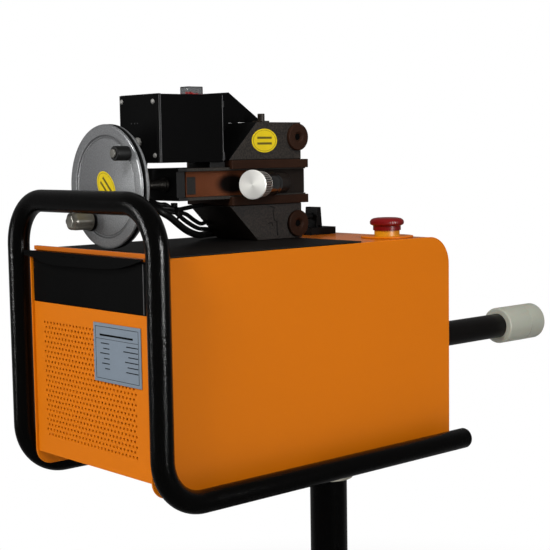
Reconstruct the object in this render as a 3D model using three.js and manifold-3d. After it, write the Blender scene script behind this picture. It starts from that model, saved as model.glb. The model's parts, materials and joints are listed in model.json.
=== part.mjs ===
// On-car brake lathe: a sheet-metal drive unit in a tubular frame, with its cutting head parked on top,
// carried on the rising post of a castor stand. Lengths in millimetres, +Z up, the floor at z = 0.
// The unit's space has x = 0 at the body's handle end, y = 0 on its mid-plane, z = 0 on the rails' centre line.
// The head's space has the same x, and y = z = 0 on its feed screw.
import * as THREE from 'three';
import { mergeVertices } from 'three/addons/utils/BufferGeometryUtils.js';
import Module from 'manifold-3d';

const wasm = await Module();
wasm.setup();

// Driving dimensions of the whole machine
const gap = 0.3;
const overrun = 5;
const railHeight = 640;
const bodyLength = 467;
const bodyWidth = 224.8;
const sideTop = 254.5;
const sideFoot = 5;
const sheet = 2;
const crownRadius = 35;
const footRadius = 20;
const tubeRadius = 12.5;
const tubeBend = 52;
const tubeSideGap = 7.9;
const uprightAhead = 1.5;
const hoopHeight = 311.8;
const railOverhang = 6.4;
const postSetback = 106;
const postRadius = 23.7;
const shaftHeight = 106.8;
const shaftRadius = 17.1;
const headSide = 16.6;
const screwHeight = 326.5;

// Round counts
const fineSides = 48;
const roundSides = 24;
const tubeSides = 16;
const pinSides = 12;
const bendSteps = 6;

const postPlace = bodyLength - postSetback;
const bodyHalf = bodyWidth / 2;
const tubeSide = bodyHalf + tubeSideGap + tubeRadius;

// Geometry helpers

// One closed skin with shared corners, as a cut or join needs it.
function closed(geometry) {
  const plain = geometry.index ? geometry.toNonIndexed() : geometry.clone();
  for (const name of Object.keys(plain.attributes)) {
    if (name !== 'position') plain.deleteAttribute(name);
  }
  const merged = mergeVertices(plain);
  const corners = merged.index.array;
  const kept = [];
  for (let i = 0; i < corners.length; i += 3) {
    const [a, b, c] = [corners[i], corners[i + 1], corners[i + 2]];
    if (a !== b && b !== c && c !== a) kept.push(a, b, c);
  }
  merged.setIndex(kept);
  return merged;
}

function toSolid(geometry) {
  const skin = closed(geometry);
  return new wasm.Manifold(new wasm.Mesh({
    numProp: 3,
    vertProperties: new Float32Array(skin.attributes.position.array),
    triVerts: new Uint32Array(skin.index.array),
  }));
}

function fromSolid(solid) {
  const mesh = solid.getMesh();
  const geometry = new THREE.BufferGeometry();
  geometry.setAttribute('position', new THREE.BufferAttribute(new Float32Array(mesh.vertProperties), 3));
  geometry.setIndex(Array.from(mesh.triVerts));
  return geometry;
}

function join(first, ...others) {
  return fromSolid(others.reduce((whole, piece) => whole.add(toSolid(piece)), toSolid(first)));
}

function cut(first, ...tools) {
  return fromSolid(tools.reduce((whole, tool) => whole.subtract(toSolid(tool)), toSolid(first)));
}

// A box between two limits on each axis.
function block([xLow, xHigh], [yLow, yHigh], [zLow, zHigh]) {
  const box = new THREE.BoxGeometry(xHigh - xLow, yHigh - yLow, zHigh - zLow);
  return box.translate((xLow + xHigh) / 2, (yLow + yHigh) / 2, (zLow + zHigh) / 2);
}

const around = (middle, half) => [middle - half, middle + half];
const rise = (low, height) => [low, low + height];

function outline(points) {
  return new THREE.Shape(points.map(([u, v]) => new THREE.Vector2(u, v)));
}

// An outline drawn in x and z, as thick as its y limits; in y and z along x; or in x and y along z.
function acrossY(shape, [low, high]) {
  const slab = new THREE.ExtrudeGeometry(shape, { depth: high - low, bevelEnabled: false, curveSegments: bendSteps });
  return slab.rotateX(Math.PI / 2).translate(0, high, 0);
}

function alongX(shape, [low, high]) {
  const slab = new THREE.ExtrudeGeometry(shape, { depth: high - low, bevelEnabled: false, curveSegments: bendSteps });
  return slab.rotateX(Math.PI / 2).rotateZ(Math.PI / 2).translate(low, 0, 0);
}

function upZ(shape, [low, high]) {
  const slab = new THREE.ExtrudeGeometry(shape, { depth: high - low, bevelEnabled: false, curveSegments: bendSteps });
  return slab.translate(0, 0, low);
}

// A turned piece: [place along the axis, radius] pairs, from low to high on the outside.
function turned(axis, profile, sides, at = [0, 0, 0]) {
  const lathe = new THREE.LatheGeometry(profile.map(([along, radius]) => new THREE.Vector2(radius, along)), sides);
  if (axis === 'x') lathe.rotateZ(-Math.PI / 2);
  if (axis === 'z') lathe.rotateX(Math.PI / 2);
  return lathe.translate(...at);
}

function rod(axis, [low, high], radius, sides, at) {
  return turned(axis, [[low, 0], [low, radius], [high, radius], [high, 0]], sides, at);
}

function ring(axis, [low, high], bore, radius, sides, at) {
  return turned(axis, [[low, bore], [low, radius], [high, radius], [high, bore], [low, bore]], sides, at);
}

// A centre line through stated corners, each rounded to one radius, with a station at every ring of the tube.
class BentLine extends THREE.Curve {
  constructor(corners, radius) {
    super();
    const points = corners.map(corner => new THREE.Vector3(...corner));
    this.stations = [points[0]];
    for (let i = 1; i < points.length - 1; i++) {
      const before = points[i - 1].clone().sub(points[i]).normalize();
      const after = points[i + 1].clone().sub(points[i]).normalize();
      const half = before.angleTo(after) / 2;
      const inward = before.clone().add(after).normalize();
      const centre = points[i].clone().addScaledVector(inward, radius / Math.sin(half));
      const start = points[i].clone().addScaledVector(before, radius / Math.tan(half)).sub(centre);
      const turn = Math.PI - 2 * half;
      const pivot = new THREE.Vector3().crossVectors(after, before).normalize();
      for (let step = 0; step <= bendSteps; step++) {
        this.stations.push(start.clone().applyAxisAngle(pivot, turn * step / bendSteps).add(centre));
      }
    }
    this.stations.push(points[points.length - 1]);
  }

  getPoint(share) {
    const place = share * (this.stations.length - 1);
    const from = Math.min(Math.floor(place), this.stations.length - 2);
    return this.stations[from].clone().lerp(this.stations[from + 1], place - from);
  }

  getPointAt(share) {
    return this.getPoint(share);
  }

  getTangentAt(share) {
    const count = this.stations.length - 1;
    const here = Math.round(share * count);
    const before = this.stations[Math.max(here - 1, 0)];
    const after = this.stations[Math.min(here + 1, count)];
    return after.clone().sub(before).normalize();
  }
}

function pipe(corners, bend, radius, sides) {
  const line = new BentLine(corners, bend);
  const section = [];
  for (let i = 0; i < sides; i++) {
    const angle = 2 * Math.PI * i / sides;
    section.push([radius * Math.cos(angle), radius * Math.sin(angle)]);
  }
  return new THREE.ExtrudeGeometry(outline(section), {
    steps: line.stations.length - 1, bevelEnabled: false, extrudePath: line,
  });
}

// A spur gear's outline: straight-flanked teeth round a pitch circle, narrowed by the backlash.
function gearOutline(teeth, module, phase) {
  const pitchRadius = teeth * module / 2;
  const tipRadius = pitchRadius + module;
  const rootRadius = pitchRadius - 1.25 * module;
  const toothShare = 0.42;
  const tipShare = 0.2;
  const points = [];
  for (let i = 0; i < teeth; i++) {
    const flanks = [[-toothShare, rootRadius], [-tipShare, tipRadius], [tipShare, tipRadius], [toothShare, rootRadius]];
    for (const [share, radius] of flanks) {
      const angle = 2 * Math.PI * (i + phase + share * 0.62) / teeth;
      points.push([radius * Math.cos(angle), radius * Math.sin(angle)]);
    }
  }
  return outline(points);
}

function hole(radius) {
  const points = [];
  for (let i = 0; i < roundSides; i++) {
    const angle = -2 * Math.PI * i / roundSides;
    points.push(new THREE.Vector2(radius * Math.cos(angle), radius * Math.sin(angle)));
  }
  return new THREE.Path(points);
}

// Finishes, each a colour, a roughness and a metalness
function finish(colour, roughness, metalness) {
  return new THREE.MeshStandardMaterial({ color: colour, roughness, metalness });
}
const orange = () => finish(0xd07018, 0.35, 0);
const frameBlack = () => finish(0x1c1b1c, 0.55, 0.1);
const satinBlack = () => finish(0x161617, 0.5, 0);
const matBlack = () => finish(0x1d1a1a, 0.75, 0);
const castGrey = () => finish(0x3a3533, 0.6, 0.4);
const bronze = () => finish(0x6b4a3a, 0.45, 0.6);
const copper = () => finish(0x8a5a3c, 0.4, 0.7);
const silver = () => finish(0xb4b6b6, 0.35, 0.9);
const steel = () => finish(0x8b8c8d, 0.4, 0.9);
const nylon = () => finish(0xe6e4da, 0.5, 0);
const zinc = () => finish(0xb9b5a4, 0.45, 0.7);
const rubber = () => finish(0x2a2a2c, 0.8, 0);

const machine = new THREE.Group();
const unit = new THREE.Group();
const head = new THREE.Group();
machine.add(unit);
unit.add(head);
head.position.set(0, headSide, screwHeight);

function add(group, name, geometry, material) {
  const mesh = new THREE.Mesh(closed(geometry), material);
  mesh.name = name;
  group.add(mesh);
  return mesh;
}

// Stand: a welded base on four swivel castors, and a column with a clamp

const wheelRadius = 37.5;
const wheelWidth = 24;
const castorHeight = 96;
const castorTrail = 28;
const stemDiscRadius = 24;
const stemDiscThickness = 4;
const cheekThickness = 3;
const cheekHalfLength = 16;
const axleRadius = 5;
const legLength = 480;
const legSpread = 400;
const legWidth = 50;
const legDepth = 30;
const columnRadius = 28.5;
const columnTop = 481;
const collarRadius = 37;
const collarHeight = 42;
const footPlateHalf = 60;
const footPlateThickness = 8;
const gussetReach = 29;
const gussetHeight = 80;
const gussetThickness = 6;

const legTop = castorHeight + legDepth;
const legHalf = legLength / 2;
const columnFoot = legTop + gap;

function baseFrame() {
  const legs = [-1, 1].map(end => block(
    around(postPlace + end * legSpread / 2, legWidth / 2), around(0, legHalf), [castorHeight, legTop]));
  const beam = block(around(postPlace, (legSpread - legWidth) / 2 + overrun), around(0, legWidth / 2),
    [castorHeight, legTop]);
  return join(legs[0], legs[1], beam);
}

// The column stands on the beam with a gusseted foot plate, and ends in a split clamping collar.
function column() {
  const bore = postRadius + gap;
  const profile = [
    [columnFoot, bore], [columnFoot, columnRadius], [columnTop - collarHeight, columnRadius],
    [columnTop - collarHeight, collarRadius], [columnTop, collarRadius], [columnTop, bore], [columnFoot, bore],
  ];
  const tube = turned('z', profile, roundSides, [postPlace, 0, 0]);
  const plate = block(around(postPlace, footPlateHalf), around(0, footPlateHalf), rise(columnFoot, footPlateThickness));
  const drain = rod('z', [columnFoot - overrun, columnFoot + footPlateThickness + overrun], bore, roundSides,
    [postPlace, 0, 0]);
  const braceFoot = columnFoot + footPlateThickness / 2;
  const brace = outline([
    [columnRadius - gussetThickness / 2, braceFoot], [columnRadius + gussetReach, braceFoot],
    [columnRadius + gussetReach, columnFoot + 2 * footPlateThickness],
    [columnRadius - gussetThickness / 2, columnFoot + gussetHeight],
  ]);
  const braces = [0, 1, 2, 3].map(quarter => acrossY(brace, around(0, gussetThickness / 2))
    .rotateZ(quarter * Math.PI / 2).translate(postPlace, 0, 0));
  const slitWidth = 3;
  const slit = block(around(postPlace, slitWidth / 2), [bore - overrun, collarRadius + overrun],
    [columnTop - collarHeight / 2, columnTop + overrun]);
  const threadRadius = clampStudRadius + gap;
  const thread = rod('y', [-collarRadius - overrun, -postRadius], threadRadius, pinSides, [postPlace, 0, clampHeight]);
  return cut(join(tube, plate, ...braces), drain, slit, thread);
}

const clampStudRadius = 5;
const clampKnobRadius = 21;
const clampKnobDepth = 16;
const clampReach = 24;
const clampHeight = columnTop - collarHeight * 0.42;

// A lobed hand knob on a stud that presses on the post.
function clampKnob() {
  const stud = rod('y', [-collarRadius - clampReach, -postRadius - gap], clampStudRadius, pinSides);
  const lobes = 5;
  const lobeShare = 0.12;
  const points = [];
  for (let i = 0; i < 8 * lobes; i++) {
    const angle = 2 * Math.PI * i / (8 * lobes);
    const radius = clampKnobRadius * (1 - lobeShare + lobeShare * Math.cos(lobes * angle));
    points.push([radius * Math.cos(angle), radius * Math.sin(angle)]);
  }
  const inner = -collarRadius - clampReach + gap;
  const grip = acrossY(outline(points), [inner - clampKnobDepth, inner]);
  return join(stud, grip).translate(postPlace, 0, clampHeight);
}

function castorFork() {
  const cheekHalf = wheelWidth / 2 + gap + cheekThickness;
  const discFoot = castorHeight - gap - stemDiscThickness;
  const disc = rod('z', rise(discFoot, stemDiscThickness), stemDiscRadius, roundSides);
  const crown = block([-castorTrail - cheekHalfLength / 2, stemDiscRadius / 2], around(0, cheekHalf),
    [discFoot - cheekThickness, discFoot + stemDiscThickness / 2]);
  const cheek = outline([
    [-castorTrail - cheekHalfLength / 2, wheelRadius - cheekHalfLength / 2],
    [-castorTrail + cheekHalfLength / 2, wheelRadius - cheekHalfLength / 2],
    [stemDiscRadius / 2, discFoot - cheekThickness / 2],
    [-castorTrail - cheekHalfLength / 2, discFoot - cheekThickness / 2],
  ]);
  const cheeks = [1, -1].map(side => acrossY(cheek, side > 0
    ? [cheekHalf - cheekThickness, cheekHalf] : [-cheekHalf, -cheekHalf + cheekThickness]));
  const axle = rod('y', around(0, cheekHalf - cheekThickness / 2), axleRadius, pinSides, [-castorTrail, 0, wheelRadius]);
  return join(disc, crown, ...cheeks, axle);
}

function castorWheel() {
  const half = wheelWidth / 2;
  const hubRadius = 14;
  const webInset = 4;
  const treadInset = 3;
  const rimRadius = wheelRadius - 7;
  const bore = axleRadius + gap;
  const profile = [
    [-half, bore], [-half, hubRadius], [webInset - half, rimRadius], [treadInset - half, wheelRadius],
    [half - treadInset, wheelRadius], [half - webInset, rimRadius], [half, hubRadius], [half, bore], [-half, bore],
  ];
  return turned('y', profile, roundSides, [-castorTrail, 0, wheelRadius]);
}

add(machine, 'base_frame', baseFrame(), frameBlack());
add(machine, 'column', column(), frameBlack());
add(machine, 'clamp_knob', clampKnob(), rubber());
const castorInset = 28;
let castor = 0;
for (const end of [-1, 1]) {
  for (const side of [-1, 1]) {
    castor += 1;
    const place = [postPlace + end * legSpread / 2, side * (legHalf - castorInset), 0];
    add(machine, `castor_fork_${castor}`, castorFork().translate(...place), zinc());
    add(machine, `castor_wheel_${castor}`, castorWheel().translate(...place), rubber());
  }
}

// Post: the rising inner tube, with the pale thrust flange that the unit swivels on
const flangeRadius = 31;
const flangeThickness = 5;
const flangeTop = -48.3;
const spigotRadius = 20;
const spigotTop = -9;
const postDrop = 57.4;

function post() {
  const flangeFoot = flangeTop - flangeThickness;
  const postFoot = columnFoot + postDrop - railHeight;
  const profile = [
    [postFoot, 0], [postFoot, postRadius], [flangeFoot, postRadius],
    [flangeFoot, flangeRadius], [flangeTop, flangeRadius], [flangeTop, spigotRadius], [spigotTop, spigotRadius],
    [spigotTop, 0],
  ];
  return turned('z', profile, roundSides, [postPlace, 0, 0]);
}
add(unit, 'post', post(), frameBlack());

// Carrier: a saddle plate welded between the rails under the body, with the swivel socket under it
const saddleTop = sideFoot - gap;
const saddleDepth = 8;
const saddleSetback = 237;
const saddleLength = 200;
const socketRadius = 31;

function carrier() {
  const reach = tubeSide - tubeRadius - gap;
  const saddle = block(rise(bodyLength - saddleSetback, saddleLength), around(0, reach), [saddleTop - saddleDepth, saddleTop]);
  const socket = ring('z', [flangeTop + gap, saddleTop - saddleDepth / 2], spigotRadius + gap, socketRadius,
    roundSides, [postPlace, 0, 0]);
  return join(saddle, socket);
}
add(unit, 'carrier', carrier(), frameBlack());

// Frame: two bottom rails and the hoop that rises from them at the handle end

const hoopFoot = 12;
const bendEnd = tubeBend - uprightAhead + hoopFoot;
const railEnd = bodyLength + railOverhang;
for (const [name, side] of [['rail_near', -1], ['rail_far', 1]]) {
  const line = [[bendEnd + gap, side * tubeSide, 0], [railEnd, side * tubeSide, 0]];
  add(unit, name, pipe(line, tubeBend, tubeRadius, tubeSides), frameBlack());
}

function hoop() {
  const corners = [
    [bendEnd, -tubeSide, 0], [-uprightAhead, -tubeSide, 0], [-uprightAhead, -tubeSide, hoopHeight],
    [-uprightAhead, tubeSide, hoopHeight], [-uprightAhead, tubeSide, 0], [bendEnd, tubeSide, 0],
  ];
  return pipe(corners, tubeBend, tubeRadius, tubeSides);
}
add(unit, 'frame_hoop', hoop(), frameBlack());

// Body: side panels, wrapped top and rear cover, handle end, tray and mat

function sidePanelShape() {
  const shape = new THREE.Shape();
  shape.moveTo(footRadius, sideFoot);
  shape.lineTo(bodyLength, sideFoot);
  shape.lineTo(bodyLength, sideTop - crownRadius);
  shape.absarc(bodyLength - crownRadius, sideTop - crownRadius, crownRadius, 0, Math.PI / 2, false);
  shape.lineTo(0, sideTop);
  shape.lineTo(0, sideFoot + footRadius);
  shape.absarc(footRadius, sideFoot + footRadius, footRadius, Math.PI, 1.5 * Math.PI, false);
  return shape;
}
add(unit, 'side_panel_near', acrossY(sidePanelShape(), [-bodyHalf, sheet - bodyHalf]), orange());
add(unit, 'side_panel_far', acrossY(sidePanelShape(), [bodyHalf - sheet, bodyHalf]), orange());

const innerHalf = bodyHalf - sheet - gap;
const endInset = 3;
const endFoot = 22.5;
const pocketFoot = 196.6;
const lipFront = 4.8;
const lipDepth = 4.5;
const lipHeight = 4.7;
const lipRise = 5.6;
const coverTop = sideTop - gap;
const coverUnder = coverTop - sheet;
const lipTop = sideTop + lipRise;
const lipUnder = lipTop - lipHeight;
const rearFace = bodyLength - gap;
const shaftBore = shaftRadius + gap;
const flangeBore = 24;
const inletHalfWidth = 14;
const inletHalfHeight = 10;
const inletSide = 62;
const inletHeight = 60;

// One bent sheet: the raised lip, the top, the large rear corner and the rear wall.
function topCover() {
  const outer = crownRadius - gap;
  const inner = outer - sheet;
  const centreX = rearFace - outer;
  const centreZ = coverTop - outer;
  const web = lipFront + lipDepth - sheet;
  const shape = new THREE.Shape();
  shape.moveTo(lipFront, lipUnder);
  shape.lineTo(web, lipUnder);
  shape.lineTo(web, coverUnder);
  shape.lineTo(centreX, coverUnder);
  shape.absarc(centreX, centreZ, inner, Math.PI / 2, 0, true);
  shape.lineTo(rearFace - sheet, sideFoot);
  shape.lineTo(rearFace, sideFoot);
  shape.lineTo(rearFace, centreZ);
  shape.absarc(centreX, centreZ, outer, 0, Math.PI / 2, false);
  shape.lineTo(lipFront + lipDepth, coverTop);
  shape.lineTo(lipFront + lipDepth, lipTop);
  shape.lineTo(lipFront, lipTop);
  const cover = acrossY(shape, around(0, innerHalf));
  const outlet = rod('x', [rearFace - sheet - overrun, rearFace + overrun], flangeBore, roundSides, [0, 0, shaftHeight]);
  const inlet = block([rearFace - sheet - overrun, rearFace + overrun], around(inletSide, inletHalfWidth),
    around(inletHeight, inletHalfHeight));
  const stopHole = rod('z', [coverUnder - overrun, coverTop + overrun], stopNeckRadius + gap, roundSides,
    [stopPlace, stopSide, 0]);
  return cut(cover, outlet, inlet, stopHole);
}

// Emergency stop: a round plate with a yellow collar, and the red mushroom head
const stopSetback = 64.4;
const stopPlace = bodyLength - stopSetback;
const stopSide = -66.8;
const stopPlateRadius = 32.5;
const stopPlateThickness = 1.6;
const stopCollarRadius = 15.7;
const stopCollarHeight = 7.7;
const stopNeckRadius = 11;
const stopNeckDepth = 24;
const stopSkirtRadius = 17.3;
const stopSkirtLap = 1.5;
const stopHeadRadius = 21;
const stopHeadHeight = 10.9;
const stopPress = 4;
const stopStemRadius = 6;

function stopBase() {
  const foot = coverTop + gap;
  const bore = stopStemRadius + gap;
  const collarTop = foot + stopPlateThickness + stopCollarHeight;
  const profile = [
    [coverUnder - stopNeckDepth, bore], [coverUnder - stopNeckDepth, stopNeckRadius], [foot, stopNeckRadius],
    [foot, stopPlateRadius], [foot + stopPlateThickness, stopPlateRadius],
    [foot + stopPlateThickness, stopCollarRadius], [collarTop, stopCollarRadius], [collarTop, bore],
    [coverUnder - stopNeckDepth, bore],
  ];
  return turned('z', profile, roundSides, [stopPlace, stopSide, 0]);
}

// The head's skirt slides down round the collar, and its stem runs in the base.
function stopHead() {
  const collarTop = coverTop + gap + stopPlateThickness + stopCollarHeight;
  const skirtFoot = collarTop - stopSkirtLap;
  const roof = collarTop + stopPress + gap;
  const top = roof + stopHeadHeight;
  const profile = [
    [coverUnder, 0], [coverUnder, stopStemRadius], [roof, stopStemRadius], [roof, stopCollarRadius + gap],
    [skirtFoot, stopCollarRadius + gap], [skirtFoot, stopSkirtRadius], [roof + stopHeadHeight * 0.1, stopSkirtRadius],
    [roof + stopHeadHeight * 0.22, stopHeadRadius], [roof + stopHeadHeight * 0.62, stopHeadRadius],
    [top - stopHeadHeight * 0.1, stopHeadRadius * 0.85], [top, stopHeadRadius * 0.6], [top, 0],
  ];
  return turned('z', profile, roundSides, [stopPlace, stopSide, 0]);
}

add(unit, 'top_cover', topCover(), orange());
add(unit, 'estop_base', stopBase(), finish(0xd9a81c, 0.45, 0));
add(unit, 'estop_head', stopHead(), finish(0xb01420, 0.4, 0));

const matSetback = 156.1;
const matThickness = 1.7;
const matStart = lipFront + lipDepth + gap;
const matFoot = sideTop + gap;
add(unit, 'top_mat', block([matStart, bodyLength - matSetback], around(0, bodyHalf),
  rise(matFoot, matThickness)), matBlack());

const endFace = [endInset, endInset + sheet];
add(unit, 'end_panel', block(endFace, around(0, innerHalf), [endFoot, pocketFoot]), orange());
add(unit, 'pocket_panel', block(endFace, around(0, innerHalf), [pocketFoot + gap, coverUnder - gap]), satinBlack());

// The dark guard under the lip hangs in a shallow bow between the uprights.
const guardFront = -3.2;
const guardThickness = 3;
const guardBow = 16;
const guardNearStart = -107;
const guardNearDrop = 1.6;
const guardFarDrop = 6;

function gripGuard() {
  const top = lipUnder - gap;
  const far = tubeSide - tubeRadius - gap;
  const steps = 14;
  const points = [[guardNearStart, top], [guardNearStart, top - guardNearDrop]];
  for (let i = 1; i < steps; i++) {
    const share = i / steps;
    const bow = guardBow * (1 - (2 * share - 1) ** 4) * (0.8 + 0.2 * share);
    const chord = guardNearDrop + (guardFarDrop - guardNearDrop) * share;
    points.push([guardNearStart + (far - guardNearStart) * share, top - Math.max(bow, chord)]);
  }
  points.push([far, top - guardFarDrop], [far, top]);
  return alongX(outline(points), rise(guardFront, guardThickness));
}
add(unit, 'grip_guard', gripGuard(), satinBlack());

const trayLip = 14;
const trayFront = 47;
function bottomTray() {
  const low = sideFoot;
  const high = sideFoot + trayLip;
  const section = outline([
    [-innerHalf, low], [innerHalf, low], [innerHalf, high], [innerHalf - sheet, high],
    [innerHalf - sheet, low + sheet], [sheet - innerHalf, low + sheet], [sheet - innerHalf, high], [-innerHalf, high],
  ]);
  return alongX(section, [trayFront, rearFace - sheet - gap]);
}
add(unit, 'bottom_tray', bottomTray(), orange());

const plateWidth = 86;
const plateHeight = 63.5;
const plateThickness = 0.8;
const plateMiddle = -52.7;
const plateFoot = 119.7;
add(unit, 'rating_plate', block([endInset - gap - plateThickness, endInset - gap], around(plateMiddle, plateWidth / 2),
  rise(plateFoot, plateHeight)), silver());

const inletDepth = 32;
const inletRim = 4;
const inletSocket = 14;
function powerInlet() {
  const rim = block(rise(rearFace + gap, inletRim / 2), around(inletSide, inletHalfWidth + inletRim),
    around(inletHeight, inletHalfHeight + inletRim));
  const shell = block([rearFace - inletDepth, rearFace + gap + inletRim / 4],
    around(inletSide, inletHalfWidth - gap), around(inletHeight, inletHalfHeight - gap));
  const mouth = block([rearFace - inletSocket, rearFace + overrun],
    around(inletSide, inletHalfWidth - sheet - gap), around(inletHeight, inletHalfHeight - sheet - gap));
  return cut(join(rim, shell), mouth);
}
add(unit, 'power_inlet', powerInlet(), satinBlack());

// Drive: motor above, one gear stage down, and the drive shaft out of the rear wall

const gearModule = 2.5;
const gearTeeth = 48;
const pinionTeeth = 16;
const gearWidth = 18;
const caseWall = 8;
const caseSetback = 59;
const caseLength = 63;
const gearSeat = 13;
const caseHalf = 72;
const motorRadius = 52;
const motorLength = 170;
const rotorRadius = 9;
const shaftReach = 237;
const sleeveLength = 81;
const sleeveRadius = 25.6;
const shaftInsideSleeve = 52;

const caseRear = bodyLength - caseSetback;
const caseFront = caseRear - caseLength;
const gearPlace = caseFront + caseWall + gearSeat + gearWidth / 2;
const sleeveStart = bodyLength + shaftReach;
const sleeveEnd = sleeveStart + sleeveLength;
const axisDrop = (gearTeeth + pinionTeeth) * gearModule / 2;
const motorHeight = shaftHeight + axisDrop;
const trayTop = sideFoot + sheet + gap;
const caseTop = motorHeight + (pinionTeeth / 2 + 2) * gearModule + caseWall + gap;
const rotorRear = gearPlace + gearWidth;

function gearbox() {
  const shell = block([caseFront, caseRear], around(0, caseHalf), [trayTop, caseTop]);
  const hollow = block([caseFront + caseWall, caseRear - caseWall], around(0, caseHalf - caseWall),
    [trayTop + caseWall, caseTop - caseWall]);
  const shaftHole = rod('x', [caseFront - overrun, caseRear + overrun], shaftRadius + gap, roundSides,
    [0, 0, shaftHeight]);
  const rotorHole = rod('x', [caseFront - overrun, caseFront + caseWall + overrun], rotorRadius + gap, pinSides,
    [0, 0, motorHeight]);
  return cut(shell, hollow, shaftHole, rotorHole);
}

function driveGear() {
  const shape = gearOutline(gearTeeth, gearModule, 0);
  shape.holes.push(hole(shaftRadius + gap));
  return alongX(shape, around(gearPlace, gearWidth / 2)).translate(0, 0, shaftHeight);
}

// The rotor runs the motor's length and carries the pinion, which is in mesh above the gear.
function motorRotor() {
  const start = caseFront - gap - motorLength + caseWall;
  const bar = rod('x', [start, rotorRear], rotorRadius, pinSides);
  const core = rod('x', [start + 2 * caseWall, caseFront - 4 * caseWall], motorRadius * 0.45, roundSides);
  const pinion = alongX(gearOutline(pinionTeeth, gearModule, 0.5), around(gearPlace, gearWidth / 2 + gap));
  return join(bar, core, pinion).translate(0, 0, motorHeight);
}

// A round housing with end walls, open at both bearings.
function motorBody() {
  const rear = caseFront - gap;
  const front = rear - motorLength;
  const bore = rotorRadius + gap;
  const inside = motorRadius * 0.5;
  const bell = motorRadius * 0.86;
  const profile = [
    [front, bore], [front, bell], [front + caseWall, motorRadius], [rear, motorRadius], [rear, bore],
    [rear - caseWall * 1.5, bore], [rear - caseWall * 1.5, inside], [front + caseWall * 1.5, inside],
    [front + caseWall * 1.5, bore], [front, bore],
  ];
  return turned('x', profile, roundSides, [0, 0, motorHeight]);
}

const shaftFlangeRadius = 40;
const shaftFlangeThickness = 9;
const noseLength = 8;
function shaftFlange() {
  const start = rearFace + gap;
  const profile = [
    [rearFace - sheet - noseLength, shaftBore], [rearFace - sheet - noseLength, flangeBore - gap],
    [start, flangeBore - gap], [start, shaftFlangeRadius], [start + shaftFlangeThickness / 2, shaftFlangeRadius],
    [start + shaftFlangeThickness, shaftFlangeRadius * 0.75], [start + shaftFlangeThickness, shaftBore],
    [rearFace - sheet - noseLength, shaftBore],
  ];
  return turned('x', profile, roundSides, [0, 0, shaftHeight]);
}

const shaftEnd = sleeveStart + shaftInsideSleeve;
add(unit, 'gearbox', gearbox(), castGrey());
add(unit, 'motor_body', motorBody(), castGrey());
add(unit, 'motor_rotor', motorRotor(), steel());
add(unit, 'drive_gear', driveGear(), steel());
add(unit, 'drive_shaft', rod('x', [caseFront + caseWall / 2, shaftEnd], shaftRadius, roundSides, [0, 0, shaftHeight]),
  satinBlack());
add(unit, 'shaft_flange', shaftFlange(), castGrey());

// The pale coupling sleeve: a tube that reaches past the shaft's end and leaves a socket there.
function couplingSleeve() {
  const bore = shaftRadius + gap;
  const chamfer = 3;
  const seam = sleeveStart + (sleeveEnd - sleeveStart) * 0.62;
  const seamWidth = 1.2;
  const seamDepth = 0.8;
  const profile = [
    [sleeveStart, bore], [sleeveStart, sleeveRadius - chamfer], [sleeveStart + chamfer, sleeveRadius],
    [seam, sleeveRadius], [seam + seamWidth / 2, sleeveRadius - seamDepth], [seam + seamWidth, sleeveRadius],
    [sleeveEnd - chamfer, sleeveRadius], [sleeveEnd, sleeveRadius - chamfer], [sleeveEnd, bore], [sleeveStart, bore],
  ];
  return turned('x', profile, roundSides, [0, 0, shaftHeight]);
}
add(unit, 'shaft_sleeve', couplingSleeve(), nylon());

const inverterPlace = [60, 130];
const inverterHalf = 75;
const inverterHeight = 120;
add(unit, 'inverter', block(inverterPlace, around(0, inverterHalf), rise(trayTop, inverterHeight)), castGrey());

// Cutting head

const armNear = -25;
const armFar = 52;
const armMiddle = (armNear + armFar) / 2;
const armFoot = 26.8;
const armTop = 71;
const armDrop = 69.7;
const armSlantStart = 197.5;
const armSlantEnd = 241.2;
const armRear = 312.5;

function armShape(reach) {
  return [[armSlantStart, armFoot], [armRear, armFoot], [armRear, reach], [armSlantEnd, reach]];
}

const pinPlace = 270.6;
const pinRadius = 4.4;
const pinHeight = 10.9;
const pinSeatStart = 264;
const pinSeatEnd = 276.2;
const pinSeatThickness = 2.2;
const pinSeatHalf = 9;

// The upper arm also carries a small seat with an upright steel pin on its top.
function upperArm() {
  const arm = acrossY(outline(armShape(armTop)), [armNear, armFar]);
  const seat = block([pinSeatStart, pinSeatEnd], around(0, pinSeatHalf), [armTop - sheet, armTop + pinSeatThickness]);
  const pin = rod('z', [armTop - sheet, armTop + pinHeight], pinRadius, pinSides, [pinPlace, 0, 0]);
  return join(arm, seat, pin);
}

function lowerArm() {
  return acrossY(outline(armShape(armDrop).map(([x, z]) => [x, -z])), [armNear, armFar]);
}
add(head, 'arm_upper', upperArm(), castGrey());
add(head, 'arm_lower', lowerArm(), castGrey());

// Guide bars: shallow channels that lap over the slide plates on both sides
const barStart = 198.6;
const barEnd = 320.5;
const barLip = 4.3;
const barNear = armNear - barLip;
const barFar = armFar + barLip;
const barLow = 16.2;
const plateUnder = 14.8;
const plateOver = 18.5;
const plateInset = 0.4;
const plateNear = armNear + plateInset;
const plateFar = armFar - plateInset;

function guideBar(up) {
  const points = [
    [barNear, barLow], [armNear, barLow], [armNear, plateOver + gap], [armFar, plateOver + gap], [armFar, barLow],
    [barFar, barLow], [barFar, armFoot - gap], [barNear, armFoot - gap],
  ];
  return alongX(outline(points.map(([y, z]) => [y, up * z])), [barStart, barEnd]);
}
add(head, 'guide_bar_upper', guideBar(1), bronze());
add(head, 'guide_bar_lower', guideBar(-1), bronze());

// Flanged bosses with a countersunk hole on the arms' front faces
const upperBoss = [305.9, 53.1];
const lowerBoss = [304.5, -51.8];
const bossRadius = 16.3;
const bossThickness = 3.7;
const bossHole = 4;
const bossSink = 6.8;
const bossEdge = 1;

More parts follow.
